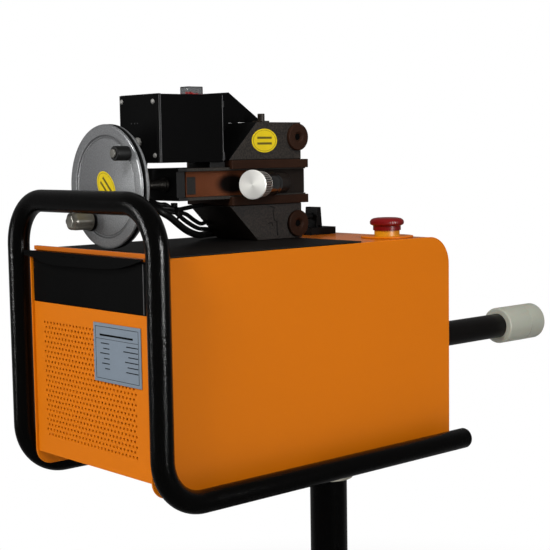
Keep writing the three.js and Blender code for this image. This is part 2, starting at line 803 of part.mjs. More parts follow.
function boss([place, rise]) {
  const face = armNear - gap - bossThickness;
  const profile = [
    [face, bossSink], [face, bossRadius - bossEdge], [face + bossEdge, bossRadius], [face + bossThickness, bossRadius],
    [face + bossThickness, bossHole], [face + bossThickness / 2, bossHole], [face, bossSink],
  ];
  return turned('y', profile, roundSides, [place, 0, rise]);
}
add(head, 'boss_upper', boss(upperBoss), bronze());
add(head, 'boss_lower', boss(lowerBoss), bronze());

// Slide housing: the screw's bearing block, the two plates that guide the slide, and the foot of the box
const blockEnd = 135.2;
const blockHalf = 34.5;
const plateStart = 123.3;
const plateEnd = 320;
const footStart = 173;
const footEnd = 195.6;
const footHalf = 20;
const boxFoot = 25.1;
const screwRadius = 6.2;

function slideHousing() {
  const bearing = block([plateStart, blockEnd], around(armMiddle, blockHalf), around(0, plateUnder + sheet / 2));
  const plates = [1, -1].map(up => block([plateStart, plateEnd], [plateNear, plateFar],
    up > 0 ? [plateUnder, plateOver] : [-plateOver, -plateUnder]));
  const foot = block([footStart, footEnd], around(0, footHalf), [plateOver - sheet, boxFoot - gap]);
  const bore = rod('x', [plateStart - overrun, blockEnd + overrun], screwRadius + gap, pinSides);
  return cut(join(bearing, ...plates, foot), bore);
}
add(head, 'slide_housing', slideHousing(), castGrey());

// Slide: a bar on the screw that ends in a fork round the brake disc, with a slanted screw housing each side
const slideStart = 136.7;
const slideEnd = 320.9;
const slideHalf = 34.5;
const slideRise = 14.5;
const forkStart = 262;
const forkHalf = 9;
const prongEnd = 292;
const cheek = 2.6;
const screwEnd = 256;
const depthPlace = 281;
const depthDrop = -1.9;
const depthLean = 24 * Math.PI / 180;
const depthBossRadius = 12.6;
const depthBossEnd = 23;
const depthCollarRadius = 13.9;
const depthCollarEnd = 54;
const depthKnobRadius = 15.2;
const depthCapRadius = 17.2;
const depthCapThickness = 3.4;
const depthKnobEnd = 79.6;
const stemRadius = 4;
const stemInner = 22;
const shankOuter = 12;
const shankInner = -20;

// Pieces on a depth screw are drawn along x from where it leaves the slide's side, then leaned out.
function onDepthAxis(geometry, side) {
  return geometry.rotateZ(side * (Math.PI - depthLean)).translate(depthPlace, armMiddle + side * slideHalf, depthDrop);
}

function slide() {
  const bar = block([slideStart, slideEnd], around(armMiddle, slideHalf), around(0, slideRise));
  const fork = block([forkStart, slideEnd + overrun], around(armMiddle, forkHalf), around(0, slideRise + overrun));
  const pocket = block([prongEnd, slideEnd + overrun], around(armMiddle, slideHalf - cheek),
    around(0, slideRise + overrun));
  const screwHole = rod('x', [slideStart - overrun, forkStart + overrun], screwRadius + gap, pinSides);
  const housings = [-1, 1].map(side => {
    const profile = [
      [-overrun, 0], [-overrun, depthBossRadius], [depthBossEnd, depthBossRadius], [depthBossEnd, depthCollarRadius],
      [depthCollarEnd, depthCollarRadius], [depthCollarEnd, 0],
    ];
    const whole = onDepthAxis(turned('x', profile, roundSides), side);
    const within = block([slideStart, barEnd], around(armMiddle, slideHalf - sheet), around(0, slideRise + overrun));
    return cut(whole, within);
  });
  const bores = [-1, 1].map(side => onDepthAxis(
    rod('x', [-slideEnd, depthCollarEnd + overrun], stemRadius + gap, pinSides), side));
  return cut(join(cut(bar, fork, pocket), ...housings), screwHole, ...bores);
}
add(head, 'slide', slide(), copper());

function depthKnob(side) {
  const face = depthKnobEnd;
  const edge = 1.2;
  const profile = [
    [stemInner, 0], [stemInner, stemRadius], [depthCollarEnd + gap, stemRadius],
    [depthCollarEnd + gap, depthKnobRadius], [face - depthCapThickness, depthKnobRadius],
    [face - depthCapThickness, depthCapRadius], [face - edge, depthCapRadius], [face, depthCapRadius - edge], [face, 0],
  ];
  return onDepthAxis(turned('x', profile, roundSides), side);
}
add(head, 'depth_knob_near', depthKnob(-1), silver());
add(head, 'depth_knob_far', depthKnob(1), silver());

// Tool holder: a shank in the slanted bore, a block past the fork's prong and a cutting tip towards the disc
const toolStart = 296.2;
const toolEnd = 311;
const toolOuter = 29.7;
const toolRise = 5.5;
const tipLength = 7;
const tipReach = 2.2;
const tipRise = 3;

function tool(side) {
  const shank = onDepthAxis(rod('x', [shankInner, shankOuter], stemRadius, pinSides), side);
  const sides = side < 0 ? [armMiddle - toolOuter, armMiddle - forkHalf] : [armMiddle + forkHalf, armMiddle + toolOuter];
  const holder = block([toolStart, toolEnd], sides, around(depthDrop, toolRise));
  const tip = upZ(outline([
    [toolEnd - tipLength, armMiddle + side * (forkHalf + sheet)], [toolEnd - sheet, armMiddle + side * (forkHalf + sheet)],
    [toolEnd - sheet, armMiddle + side * (forkHalf - tipReach)],
  ]), around(depthDrop, tipRise));
  return join(shank, holder, tip);
}
add(head, 'tool_near', tool(-1), steel());
add(head, 'tool_far', tool(1), steel());

// Feed screw and handwheel

const wheelFront = 40.3;
const wheelBack = 51.6;
const handwheelRadius = 68.8;
const wheelInnerRadius = 55;
const wheelHubRadius = 17;
const wheelHubBack = 62;
const grooveDepth = 5;
const gripPlace = [-44.1, 36.5];
const gripRadius = 7.9;
const gripFront = 22.4;
const gripBoltRadius = 3;
const gripBoltHead = 4.6;
const gripHeadThickness = 2;
const knobPlace = [29.5, -37.8];
const knobRadius = 10.8;
const knobFront = 11.4;
const washerRadius = 12;
const washerThickness = 2.4;
const screwCollarRadius = 8;
const screwCollarThickness = 3;

function feedScrew() {
  const collarEnd = plateStart - gap;
  const collarStart = collarEnd - screwCollarThickness;
  const profile = [
    [wheelFront + gap, 0], [wheelFront + gap, screwRadius - gap], [wheelHubBack + gap, screwRadius - gap],
    [wheelHubBack + gap, screwRadius], [collarStart, screwRadius], [collarStart, screwCollarRadius],
    [collarEnd, screwCollarRadius], [collarEnd, screwRadius], [screwEnd, screwRadius], [screwEnd, 0],
  ];
  return turned('x', profile, pinSides);
}
add(head, 'feed_screw', feedScrew(), steel());

// The wheel is dished in front, grooved round its rim like a pulley, and holds the grip's bolt.
function handwheel() {
  const width = wheelBack - wheelFront;
  const dish = 1.6;
  const flange = width * 0.34;
  const profile = [
    [wheelFront + dish, screwRadius], [wheelFront + dish, wheelInnerRadius], [wheelFront, wheelInnerRadius + dish],
    [wheelFront, handwheelRadius - dish], [wheelFront + dish, handwheelRadius], [wheelFront + flange, handwheelRadius],
    [wheelFront + width * 0.45, handwheelRadius - grooveDepth], [wheelFront + width * 0.6, handwheelRadius - grooveDepth],
    [wheelBack - flange * 0.6, handwheelRadius], [wheelBack, handwheelRadius - dish],
    [wheelBack, wheelHubRadius], [wheelHubBack, wheelHubRadius], [wheelHubBack, screwRadius],
    [wheelFront + dish, screwRadius],
  ];
  const disc = turned('x', profile, fineSides);
  const bolt = turned('x', [
    [gripFront - gap - gripHeadThickness, 0], [gripFront - gap - gripHeadThickness, gripBoltHead],
    [gripFront - gap, gripBoltHead], [gripFront - gap, gripBoltRadius], [wheelFront + 2 * dish, gripBoltRadius],
    [wheelFront + 2 * dish, 0],
  ], pinSides, [0, ...gripPlace]);
  return join(disc, bolt);
}
add(head, 'handwheel', handwheel(), silver());

const wheelSeat = wheelFront - gap;
add(head, 'wheel_grip', ring('x', [gripFront, wheelSeat], gripBoltRadius + gap, gripRadius, roundSides,
  [0, ...gripPlace]), rubber());

// A fluted metal knob on a dark washer, low on the wheel.
function wheelKnob() {
  const flutes = 6;
  const fluteShare = 0.08;
  const points = [];
  for (let i = 0; i < 6 * flutes; i++) {
    const angle = 2 * Math.PI * i / (6 * flutes);
    const radius = knobRadius * (1 - fluteShare + fluteShare * Math.cos(flutes * angle));
    points.push([radius * Math.cos(angle), radius * Math.sin(angle)]);
  }
  const barrel = alongX(outline(points), [knobFront, wheelSeat - washerThickness / 2]);
  const washer = rod('x', [wheelSeat - washerThickness, wheelSeat], washerRadius, roundSides);
  return join(barrel, washer).translate(0, ...knobPlace);
}
add(head, 'wheel_knob', wheelKnob(), silver());

// Feed box with its motor, output shaft and covered rocker switch, and the plate that ties it to the arms

const boxStart = 93.8;
const boxEnd = 189;
const boxNear = -27;
const boxFar = 44.3;
const boxTop = 101.8;
const boxWall = 2.5;
const feedPlace = [8.8, 48.4];
const feedRadius = 3.2;
const feedMotorRadius = 19;
const feedMotorLength = 58;
const rockerPlace = 171;
const rockerLength = 15;
const rockerWidth = 9;
const rockerCoverLength = 22;
const rockerCoverWidth = 15;
const rockerCoverHeight = 10.4;
const rockerWall = 1;
const boxMiddle = (boxNear + boxFar) / 2;

function feedBox() {
  const shell = block([boxStart, boxEnd], [boxNear, boxFar], [boxFoot, boxTop]);
  const hollow = block([boxStart + boxWall, boxEnd - boxWall], [boxNear + boxWall, boxFar - boxWall],
    [boxFoot + boxWall, boxTop - boxWall]);
  const shaftHole = rod('x', [boxStart - overrun, boxStart + overrun], feedRadius + gap, pinSides, [0, ...feedPlace]);
  const window = block(around(rockerPlace, rockerLength / 2 + gap), around(boxMiddle, rockerWidth / 2 + gap),
    [boxTop - overrun, boxTop + overrun]);
  return cut(shell, hollow, shaftHole, window);
}
add(head, 'feed_box', feedBox(), satinBlack());

// The motor's face is bolted to the box's end wall, and its shaft runs in both.
function feedMotor() {
  const start = boxStart + boxWall + gap;
  const end = start + feedMotorLength;
  const bore = feedRadius + gap;
  const depth = feedMotorLength * 0.6;
  const profile = [
    [start, bore], [start, feedMotorRadius], [end, feedMotorRadius], [end, 0], [start + depth + gap, 0],
    [start + depth + gap, bore], [start, bore],
  ];
  return turned('x', profile, roundSides, [0, ...feedPlace]);
}
add(head, 'feed_motor', feedMotor(), steel());

const feedTip = 87.5;
const feedCollarRadius = 5.6;
const feedCollar = 2.4;
function feedShaft() {
  const inner = boxStart + boxWall + gap + feedMotorLength * 0.6;
  const collarEnd = boxStart - gap;
  const profile = [
    [feedTip, 0], [feedTip, feedRadius], [collarEnd - feedCollar, feedRadius],
    [collarEnd - feedCollar, feedCollarRadius], [collarEnd, feedCollarRadius], [collarEnd, feedRadius],
    [inner, feedRadius], [inner, 0],
  ];
  return turned('x', profile, pinSides, [0, ...feedPlace]);
}
add(head, 'feed_shaft', feedShaft(), steel());

// The rocker rests tipped to one side in its window, under a clear hood.
const rockerSunk = 7;
const rockerProud = 4.2;
const rockerTip = 8 * Math.PI / 180;
function rocker() {
  const half = rockerLength / 2 - 2 * gap;
  const shape = outline([
    [-half, 0], [-half * 0.5, -rockerSunk], [half * 0.5, -rockerSunk], [half, 0],
    [half * 0.86, rockerProud], [0, rockerProud * 0.62], [-half * 0.86, rockerProud],
  ]);
  return acrossY(shape, around(0, rockerWidth / 2)).rotateY(rockerTip).translate(rockerPlace, boxMiddle, boxTop);
}

function rockerCover() {
  const foot = boxTop + gap;
  const outer = block(around(rockerPlace, rockerCoverLength / 2), around(boxMiddle, rockerCoverWidth / 2),
    rise(foot, rockerCoverHeight));
  const inner = block(around(rockerPlace, rockerCoverLength / 2 - rockerWall),
    around(boxMiddle, rockerCoverWidth / 2 - rockerWall), [foot - overrun, foot + rockerCoverHeight - rockerWall]);
  return cut(outer, inner);
}
add(head, 'rocker_switch', rocker(), finish(0xa01818, 0.4, 0));
add(head, 'rocker_cover', rockerCover(), finish(0xd8d8d8, 0.1, 0));

const tieSide = [25.3, 29.3];
const tieTopStart = 104.7;
const tieTopEnd = 108.1;
const tieCorner = 241.3;
const tieSlantEnd = 296.5;
const slantGap = 0.6;
const slotStart = 255.4;
const slotEnd = 272.6;
const slotTop = 72;
function tiePlate() {
  const shape = outline([
    [boxEnd + gap, armFoot], [armSlantStart - slantGap, armFoot], [armSlantEnd - slantGap, armTop + gap],
    [tieSlantEnd, armTop + gap], [tieCorner, tieTopEnd], [boxEnd + gap, tieTopStart],
  ]);
  const [near, far] = tieSide;
  const plate = acrossY(shape, tieSide);
  const slot = block([slotStart, slotEnd], [near - overrun, far + overrun], [armTop, slotTop]);
  return cut(plate, slot);
}
add(head, 'tie_plate', tiePlate(), satinBlack());

// Cable from the feed box down behind the arms to the lever connector on the body's top

const cableRadius = 4.2;
const connectorSetback = 94.5;
const connectorLength = 44;
const connectorSide = [38, 68];
const connectorFoot = coverTop + gap;
const connectorBaseHeight = 9.2;
const hoodSetback = 81.5;
const hoodLength = 10;
const hoodFoot = 266.5;
const hoodTop = 290;
const hoodTaper = 2;
const connectorLeg = 3.5;
const connectorStart = bodyLength - connectorSetback;
const hoodStart = bodyLength - hoodSetback;
const hoodEnd = hoodStart + hoodLength;

function connector() {
  const [near, far] = connectorSide;
  const base = block(rise(connectorStart, connectorLength), connectorSide, rise(connectorFoot, connectorBaseHeight));
  const inset = (far - near) * 0.13;
  const hoodShape = outline([
    [hoodStart, hoodFoot], [hoodEnd, hoodFoot], [hoodEnd - hoodTaper, hoodTop], [hoodStart + hoodTaper, hoodTop],
  ]);
  const hood = acrossY(hoodShape, [near + inset, far - inset]);
  const baseTop = connectorFoot + connectorBaseHeight;
  const legs = [hoodStart, hoodEnd - connectorLeg].map(start => block(
    rise(start, connectorLeg), [near + inset, far - inset], [baseTop - sheet, hoodFoot + sheet]));
  return join(base, hood, ...legs);
}
add(unit, 'connector', connector(), satinBlack());

function headCable() {
  const boxOutlet = headSide + boxFar - 2 * boxWall - cableRadius;
  const connectorMiddle = (connectorSide[0] + connectorSide[1]) / 2;
  const hoodMiddle = (hoodFoot + hoodTop) / 2;
  const line = [
    [112, boxOutlet, screwHeight + boxFoot - gap], [112, boxOutlet, 324], [112, 46, 309], [117, 28, 300],
    [138, 17, 298], [158, 20, 281], [178, 34, 268], [198, 56, 263], [218, 74, 262], [250, 81, 262],
    [320, 80, 264], [358, connectorMiddle, hoodMiddle], [hoodStart + gap, connectorMiddle, hoodMiddle],
  ];
  const smooth = new THREE.CatmullRomCurve3(line.map(point => new THREE.Vector3(...point)));
  const section = [];
  for (let i = 0; i < 8; i++) {
    const angle = Math.PI * (i + 0.5) / 4;
    section.push([cableRadius * Math.cos(angle), cableRadius * Math.sin(angle)]);
  }
  return new THREE.ExtrudeGeometry(outline(section), { steps: 34, bevelEnabled: false, extrudePath: smooth });
}
add(unit, 'head_cable', headCable(), rubber());

// The origin is on the floor under the middle of the whole machine's outline.
const frontMost = -uprightAhead - tubeRadius;
const middle = (frontMost + sleeveEnd) / 2;
machine.position.set(-middle, 0, 0);
unit.position.set(0, 0, railHeight);

export default machine;
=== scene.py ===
# %% [markdown]
# # An on-car brake lathe
# The machine is a sheet-metal drive unit in a tube frame, on a post with castors. Its cutting head is
# parked on top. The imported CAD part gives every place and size. This script dresses it: most CAD pieces are
# swapped for a finer mesh of the same size, and each finish is built from shader nodes.

# %% Load the frame
import json
import math

import bmesh
import bpy
import numpy as np
from mathutils import Matrix, Vector


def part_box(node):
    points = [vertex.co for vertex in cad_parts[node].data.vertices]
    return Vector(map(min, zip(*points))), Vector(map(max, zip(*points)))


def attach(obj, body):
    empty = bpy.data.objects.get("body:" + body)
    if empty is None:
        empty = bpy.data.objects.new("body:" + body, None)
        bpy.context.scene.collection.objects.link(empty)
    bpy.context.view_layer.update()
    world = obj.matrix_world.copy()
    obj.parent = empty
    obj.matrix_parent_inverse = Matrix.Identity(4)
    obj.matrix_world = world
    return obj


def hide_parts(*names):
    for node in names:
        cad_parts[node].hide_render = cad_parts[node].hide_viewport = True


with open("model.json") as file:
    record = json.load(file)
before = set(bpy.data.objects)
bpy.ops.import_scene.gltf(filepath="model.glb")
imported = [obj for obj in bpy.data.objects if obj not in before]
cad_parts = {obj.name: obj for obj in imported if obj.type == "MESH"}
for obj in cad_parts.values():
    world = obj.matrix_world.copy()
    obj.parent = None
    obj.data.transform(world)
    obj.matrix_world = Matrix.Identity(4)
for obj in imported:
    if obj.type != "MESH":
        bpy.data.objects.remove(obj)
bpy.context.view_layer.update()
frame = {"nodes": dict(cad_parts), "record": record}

# %% [markdown]
# ## Two drawing boards
# The CAD part was drawn in millimetres from the body's front edge, so the same numbers are used here. A
# drawing board is an origin in metres: the unit's board starts at the body's handle end on the rails'
# centre line, and the head's board sits on its feed screw.

# %% Drawing boards
MM = 0.001
PER_MM = 1000.0
UNIT = np.array([-0.3855, 0.0, 0.640])
HEAD = UNIT + np.array([0.0, 0.0166, 0.3265])
FLOOR = np.array([-0.3855, 0.0, 0.0])


def on_board(points, board=UNIT):
    """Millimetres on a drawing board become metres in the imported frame: board + points / 1000."""
    return np.asarray(board) + np.asarray(points, dtype=float) * MM


print("feed screw at", on_board((0, 0, 0), HEAD).round(4).tolist(), "m")

# %% [markdown]
# ## Camera
# The photograph was taken from the handle end's near side with a long lens. Its angles were fitted to the
# straight edges of the body and the tubes. A camera in Blender looks along its own -Z, so its matrix is
# filled with the right, up and backward directions of that view.

# %% Camera
FRAME_PX = 550
FOCAL_PX = 1295.72
SENSOR_MM = 36.0
YAW, PITCH, ROLL = math.radians(41.856), math.radians(5.431), math.radians(-0.883)
CAMERA_AT = on_board([-775.08, -1059.15 - 112.4, 362.11])


def camera_axes(yaw, pitch, roll):
    """Forward is (sin yaw, cos yaw) tipped down by the pitch; right and up are then turned by the roll."""
    ahead = np.array([math.sin(yaw), math.cos(yaw), 0.0])
    side = np.array([math.cos(yaw), -math.sin(yaw), 0.0])
    up = np.array([0.0, 0.0, 1.0])
    forward = ahead * math.cos(pitch) - up * math.sin(pitch)
    above = up * math.cos(pitch) + ahead * math.sin(pitch)
    right = side * math.cos(roll) + above * math.sin(roll)
    return right, above * math.cos(roll) - side * math.sin(roll), forward


right, above, forward = camera_axes(YAW, PITCH, ROLL)
view = Matrix.Identity(4)
for row in range(3):
    view[row][0], view[row][1], view[row][2] = right[row], above[row], -forward[row]
    view[row][3] = CAMERA_AT[row]
camera_data = bpy.data.cameras.new("photo_camera")
camera_data.sensor_width = SENSOR_MM
camera_data.lens = SENSOR_MM * FOCAL_PX / FRAME_PX
camera_data.clip_end = 60.0
camera = bpy.data.objects.new("photo_camera", camera_data)
bpy.context.scene.collection.objects.link(camera)
camera.matrix_world = view
bpy.context.scene.camera = camera
bpy.context.scene.view_settings.view_transform = "Standard"
print("camera lens", round(camera_data.lens, 2), "mm")

# %% [markdown]
# ## Surfaces from numbers
# Turned parts, tubes and plates are all grids of points, so they are worked out with numpy as whole arrays.
# One function turns a grid into a mesh, closes it round, welds the doubled points at seams and poles, and
# makes its faces point outwards. Sharp corners are kept by angle, and a Bevel modifier rounds what a real
# edge would catch.

# %% Mesh from a grid
DOUBLES, SLIVERS = 2e-6, 1e-6
SHARP = math.radians(32)


def weld(name, points, faces, board=UNIT):
    """A closed mesh from points in mm: doubles are merged, normals face out, corners over SHARP stay."""
    mesh = bpy.data.meshes.new(name)
    mesh.from_pydata(on_board(points, board).tolist(), [], [list(f) for f in faces])
    shape = bmesh.new()
    shape.from_mesh(mesh)
    bmesh.ops.remove_doubles(shape, verts=shape.verts, dist=DOUBLES)
    bmesh.ops.dissolve_degenerate(shape, edges=shape.edges, dist=SLIVERS)
    bmesh.ops.recalc_face_normals(shape, faces=shape.faces)
    shape.to_mesh(mesh)
    shape.free()
    mesh.shade_smooth()
    mesh.set_sharp_from_angle(angle=SHARP)
    piece = bpy.data.objects.new(name, mesh)
    bpy.context.scene.collection.objects.link(piece)
    return piece


def grid_faces(rows, columns, wrap_rows=False, wrap_columns=False):
    """Quads of a grid: point (i, j) joins (i + 1, j), (i + 1, j + 1) and (i, j + 1), even where it wraps."""
    i = np.arange(rows if wrap_rows else rows - 1)
    j = np.arange(columns if wrap_columns else columns - 1)
    i, j = [part.ravel() for part in np.meshgrid(i, j, indexing="ij")]
    i2, j2 = (i + 1) % rows, (j + 1) % columns
    return np.stack([i * columns + j, i2 * columns + j, i2 * columns + j2, i * columns + j2], axis=1)


print("a grid of 4 by 3 points has", len(grid_faces(4, 3)), "faces")

# %% [markdown]
# ## Turned pieces
# Shafts, knobs and wheels come off a lathe, so each is a profile line carried round an axis. Blender's Spin
# tool or a Screw modifier could do it too. Here the whole grid is worked out at once, because then a wave
# on the radius can cut flutes, knurls and ribs into the same surface.

# %% Turned pieces
AXES = {"x": (1, 2, 0), "y": (2, 0, 1), "z": (0, 1, 2)}


def put_axis(u, v, along, axis):
    """Places u, v and the length on x, y and z, so that u, v and the axis are right-handed."""
    out = np.empty(u.shape + (3,))
    first, second, third = AXES[axis]
    out[..., first], out[..., second], out[..., third] = u, v, along
    return out


def soften(profile, radius, steps=4):
    """Rounds each inner corner of an open [along, r] line: a quadratic bend starts radius before it."""
    line = np.asarray(profile, dtype=float)
    out = [line[0]]
    for before, corner, after in zip(line[:-2], line[1:-1], line[2:]):
        to_before, to_after = before - corner, after - corner
        reach = min(radius, 0.45 * np.linalg.norm(to_before), 0.45 * np.linalg.norm(to_after))
        start = corner + to_before / np.linalg.norm(to_before) * reach
        end = corner + to_after / np.linalg.norm(to_after) * reach
        t = np.linspace(0.0, 1.0, steps + 1)[:, None]
        out.extend((1 - t) ** 2 * start + 2 * t * (1 - t) * corner + t ** 2 * end)
    out.append(line[-1])
    return np.array(out)


def turned(name, profile, axis="x", centre=(0, 0, 0), board=UNIT, sides=96, soft=0.5, waves=None):
    """A turned piece: r(s) carried round the axis at angle a, so a point is (r cos a, r sin a, s).

    waves(s, a) may return a factor on the radius, for flutes and knurls."""
    line = soften(profile, soft) if soft else np.asarray(profile, dtype=float)
    angle = np.linspace(0.0, 2 * math.pi, sides, endpoint=False)
    radius = np.broadcast_to(line[:, 1], (sides, len(line)))
    if waves is not None:
        radius = radius * waves(line[:, 0][None, :], angle[:, None])
    u, v = radius * np.cos(angle)[:, None], radius * np.sin(angle)[:, None]
    along = np.broadcast_to(line[:, 0], u.shape)
    points = put_axis(u, v, along, axis) + np.asarray(centre, dtype=float)
    return weld(name, points.reshape(-1, 3), grid_faces(sides, len(line), wrap_rows=True), board)


print("a softened corner has", len(soften([(0, 0), (10, 0), (10, 10)], 2.0)), "points")

# %% [markdown]
# ## Plates and blocks
# A plate is an outline pushed through a thickness. Extruding a face by hand gives the same, but a function
# keeps the outline readable as numbers. No real plate has a razor edge, so a small Bevel modifier rounds
# each sharp edge, and that edge then catches a thin line of light.

# %% Plates and blocks
def slab(name, outline, axis, limits, board=UNIT, bevel=0.5, segments=2):
    """A plate: an outline across the axis, between two limits along it, with its edges rounded."""
    edge = np.asarray(outline, dtype=float)
    count = len(edge)
    ends = [put_axis(edge[:, 0], edge[:, 1], np.full(count, limit), axis) for limit in limits]
    i = np.arange(count)
    sides = np.stack([i, (i + 1) % count, (i + 1) % count + count, i + count], axis=1)
    faces = [list(i[::-1]), list(i + count)] + sides.tolist()
    piece = weld(name, np.concatenate(ends), faces, board)
    return rounded(piece, bevel, segments) if bevel else piece


def rounded(piece, width, segments=2):
    """Gives a piece's sharp edges a small round of the stated width in mm."""
    bevel = piece.modifiers.new("edge_round", "BEVEL")
    bevel.width = width * MM
    bevel.segments = segments
    bevel.limit_method = "ANGLE"
    bevel.angle_limit = SHARP
    bevel.harden_normals = True
    bevel.use_clamp_overlap = True
    return piece


def brick(name, xs, ys, zs, board=UNIT, bevel=0.6, segments=2):
    """A block between three pairs of limits, with rounded edges."""
    outline = [(ys[0], zs[0]), (ys[1], zs[0]), (ys[1], zs[1]), (ys[0], zs[1])]
    return slab(name, outline, "x", xs, board, bevel, segments)


print("edges are rounded where faces meet at over", round(math.degrees(SHARP)), "degrees")

# %% [markdown]
# ## Tubes along a line
# A bent tube keeps its round section square to its centre line. A Bezier curve with a bevel comes close,
# but its arcs aren't true ones. Here the centre line is straight runs joined by real arcs, and each
# station's ring is carried on from the one before, so the tube never twists.

# %% Tubes along a line
DOME_SHARES = np.array([0.0, 0.35, 0.7, 0.92, 1.0])


def swept(name, path, radius, board=UNIT, sides=32, caps=1.0):
    """A round tube: at each station a circle stands square to the path. Caps says how far its ends dome."""
    line = np.asarray(path, dtype=float)
    tangent = np.gradient(line, axis=0)
    tangent /= np.linalg.norm(tangent, axis=1)[:, None]
    normal = np.cross(tangent[0], [0.0, 0.0, 1.0])
    if np.linalg.norm(normal) < 1e-3:
        normal = np.cross(tangent[0], [1.0, 0.0, 0.0])
    frames = []
    for direction in tangent:
        normal = normal - direction * np.dot(normal, direction)
        normal /= np.linalg.norm(normal)
        frames.append(normal)
    frames = np.array(frames)
    second = np.cross(tangent, frames)
    angle = np.linspace(0.0, 2 * math.pi, sides, endpoint=False)
    swing = frames[:, None] * np.cos(angle)[None, :, None] + second[:, None] * np.sin(angle)[None, :, None]
    radii = np.broadcast_to(np.asarray(radius, dtype=float), len(line))
    rings = line[:, None] + swing * radii[:, None, None]
    turn = DOME_SHARES * math.pi / 2
    start = [line[0] + (swing[0] * np.cos(t) - tangent[0] * np.sin(t) * caps) * radii[0] for t in turn[::-1]]
    end = [line[-1] + (swing[-1] * np.cos(t) + tangent[-1] * np.sin(t) * caps) * radii[-1] for t in turn]
    rings = np.concatenate([np.array(start), rings, np.array(end)])
    return weld(name, rings.reshape(-1, 3), grid_faces(len(rings), sides, wrap_columns=True), board)


print("tube ends are domed in", len(DOME_SHARES), "rings")

# %% [markdown]
# ## Bends
# A bent tube is straight runs joined by arcs of one radius. Each arc touches both runs, so its centre lies
# on the line that halves the corner. Points are set closer on the arcs than on the runs, where nothing
# turns.

# %% Bends
def bent(corners, radius, step=4.0, straight=12.0):
    """Stations along a line with rounded corners: about every straight mm, and every step mm on the bends."""
    points = [np.asarray(corner, dtype=float) for corner in corners]
    out = [points[0][None]]
    last = points[0]
    for before, corner, after in zip(points[:-2], points[1:-1], points[2:]):
        back = (before - corner) / np.linalg.norm(before - corner)
        on = (after - corner) / np.linalg.norm(after - corner)
        half = math.acos(np.clip(back @ on, -1, 1)) / 2
        centre = corner + (back + on) / np.linalg.norm(back + on) * radius / math.sin(half)
        first, final = corner + back * radius / math.tan(half), corner + on * radius / math.tan(half)
        run = max(2, int(np.linalg.norm(first - last) / straight))
        out.append(last + (first - last) * np.linspace(0, 1, run, endpoint=False)[1:, None])
        turn = math.pi - 2 * half
        count = max(6, int(turn * radius / step))
        t = np.linspace(0, 1, count + 1)[:, None]
        a, b = first - centre, final - centre
        out.append(centre + (a * np.sin((1 - t) * turn) + b * np.sin(t * turn)) / math.sin(turn))
        last = final
    run = max(2, int(np.linalg.norm(points[-1] - last) / straight))
    out.append(last + (points[-1] - last) * np.linspace(0, 1, run + 1)[1:, None])
    return np.concatenate(out)


print("stations on one bend:", len(bent([(0, 0, 0), (100, 0, 0), (100, 100, 0)], 50.0)))

# %% [markdown]
# ## Joined pieces and dressed copies
# Where the CAD shape is already right, a copy of it only needs rounded edges. A CAD mesh is loose
# triangles, so the copy is merged and its flat faces are joined first. Otherwise the Bevel would find an
# edge at every triangle.

# %% Joined pieces and dressed copies
CAD_DOUBLES, FLAT = 5e-6, math.radians(0.6)


def joined(name, *pieces):
    """Several meshes become one object: their points and faces are listed one after another."""
    base = pieces[0]
    for piece in pieces:
        if piece.modifiers:
            apply_modifiers(piece)
    shape = bmesh.new()
    for piece in pieces:
        shape.from_mesh(piece.data)
    shape.to_mesh(base.data)
    shape.free()
    for piece in pieces[1:]:
        bpy.data.objects.remove(piece)
    base.name = name
    base.data.name = name
    return base


def apply_modifiers(piece):
    """The piece keeps the mesh that its modifiers make, and loses the modifiers."""
    bpy.context.view_layer.update()
    done = bpy.data.meshes.new_from_object(piece.evaluated_get(bpy.context.evaluated_depsgraph_get()))
    piece.modifiers.clear()
    old = piece.data
    piece.data = done
    bpy.data.meshes.remove(old)
    return piece


def dressed(node, width=0.5, segments=2):
    """A copy of a CAD node with its loose triangles merged, its flat faces joined and its edges rounded."""
    mesh = frame["nodes"][node].data.copy()
    mesh.materials.clear()
    shape = bmesh.new()
    shape.from_mesh(mesh)
    bmesh.ops.remove_doubles(shape, verts=shape.verts, dist=CAD_DOUBLES)
    bmesh.ops.dissolve_degenerate(shape, edges=shape.edges, dist=SLIVERS)
    bmesh.ops.dissolve_limit(shape, angle_limit=FLAT, verts=shape.verts, edges=shape.edges)
    shape.to_mesh(mesh)
    shape.free()
    mesh.shade_smooth()
    mesh.set_sharp_from_angle(angle=SHARP)
    piece = bpy.data.objects.new(node + "_fine", mesh)
    bpy.context.scene.collection.objects.link(piece)
    return rounded(piece, width, segments) if width else piece


print("CAD points closer than", CAD_DOUBLES, "m are merged")

# %% [markdown]
# ## Shader maths
# A finish is a small tree of shader nodes. The nodes could be wired one by one. To write them like
# arithmetic instead, a class wraps a socket, and each operator on it adds one Math node.

# %% Shader maths
class Value:
    """A number that changes over the surface: a socket, whose operators add Math nodes."""

    def __init__(self, nodes, socket):
        self.nodes, self.socket = nodes, socket

    def maths(self, operation, *others):
        inputs = dict(enumerate((self, *others)))
        return self.nodes.node("ShaderNodeMath", {"operation": operation}, inputs)[0]

    def __add__(self, other):
        return self.maths("ADD", other)

    def __mul__(self, other):
        return self.maths("MULTIPLY", other)

    def __sub__(self, other):
        return self.maths("SUBTRACT", other)

    def __rsub__(self, other):
        return self.nodes.node("ShaderNodeMath", {"operation": "SUBTRACT"}, {0: other, 1: self})[0]

    def __truediv__(self, other):
        return self.maths("DIVIDE", other)

    def __pow__(self, other):
        return self.maths("POWER", other)

    __radd__, __rmul__ = __add__, __mul__

    def size(self):
        """The number without its sign."""
        return self.maths("ABSOLUTE")

    def above(self, edge, width):
        """0 below the edge, 1 above it, with a soft step of the width between."""
        return self.nodes.node("ShaderNodeMapRange", {"interpolation_type": "SMOOTHSTEP"},
                               {0: self, 1: edge - width / 2, 2: edge + width / 2, 3: 0.0, 4: 1.0})[0]


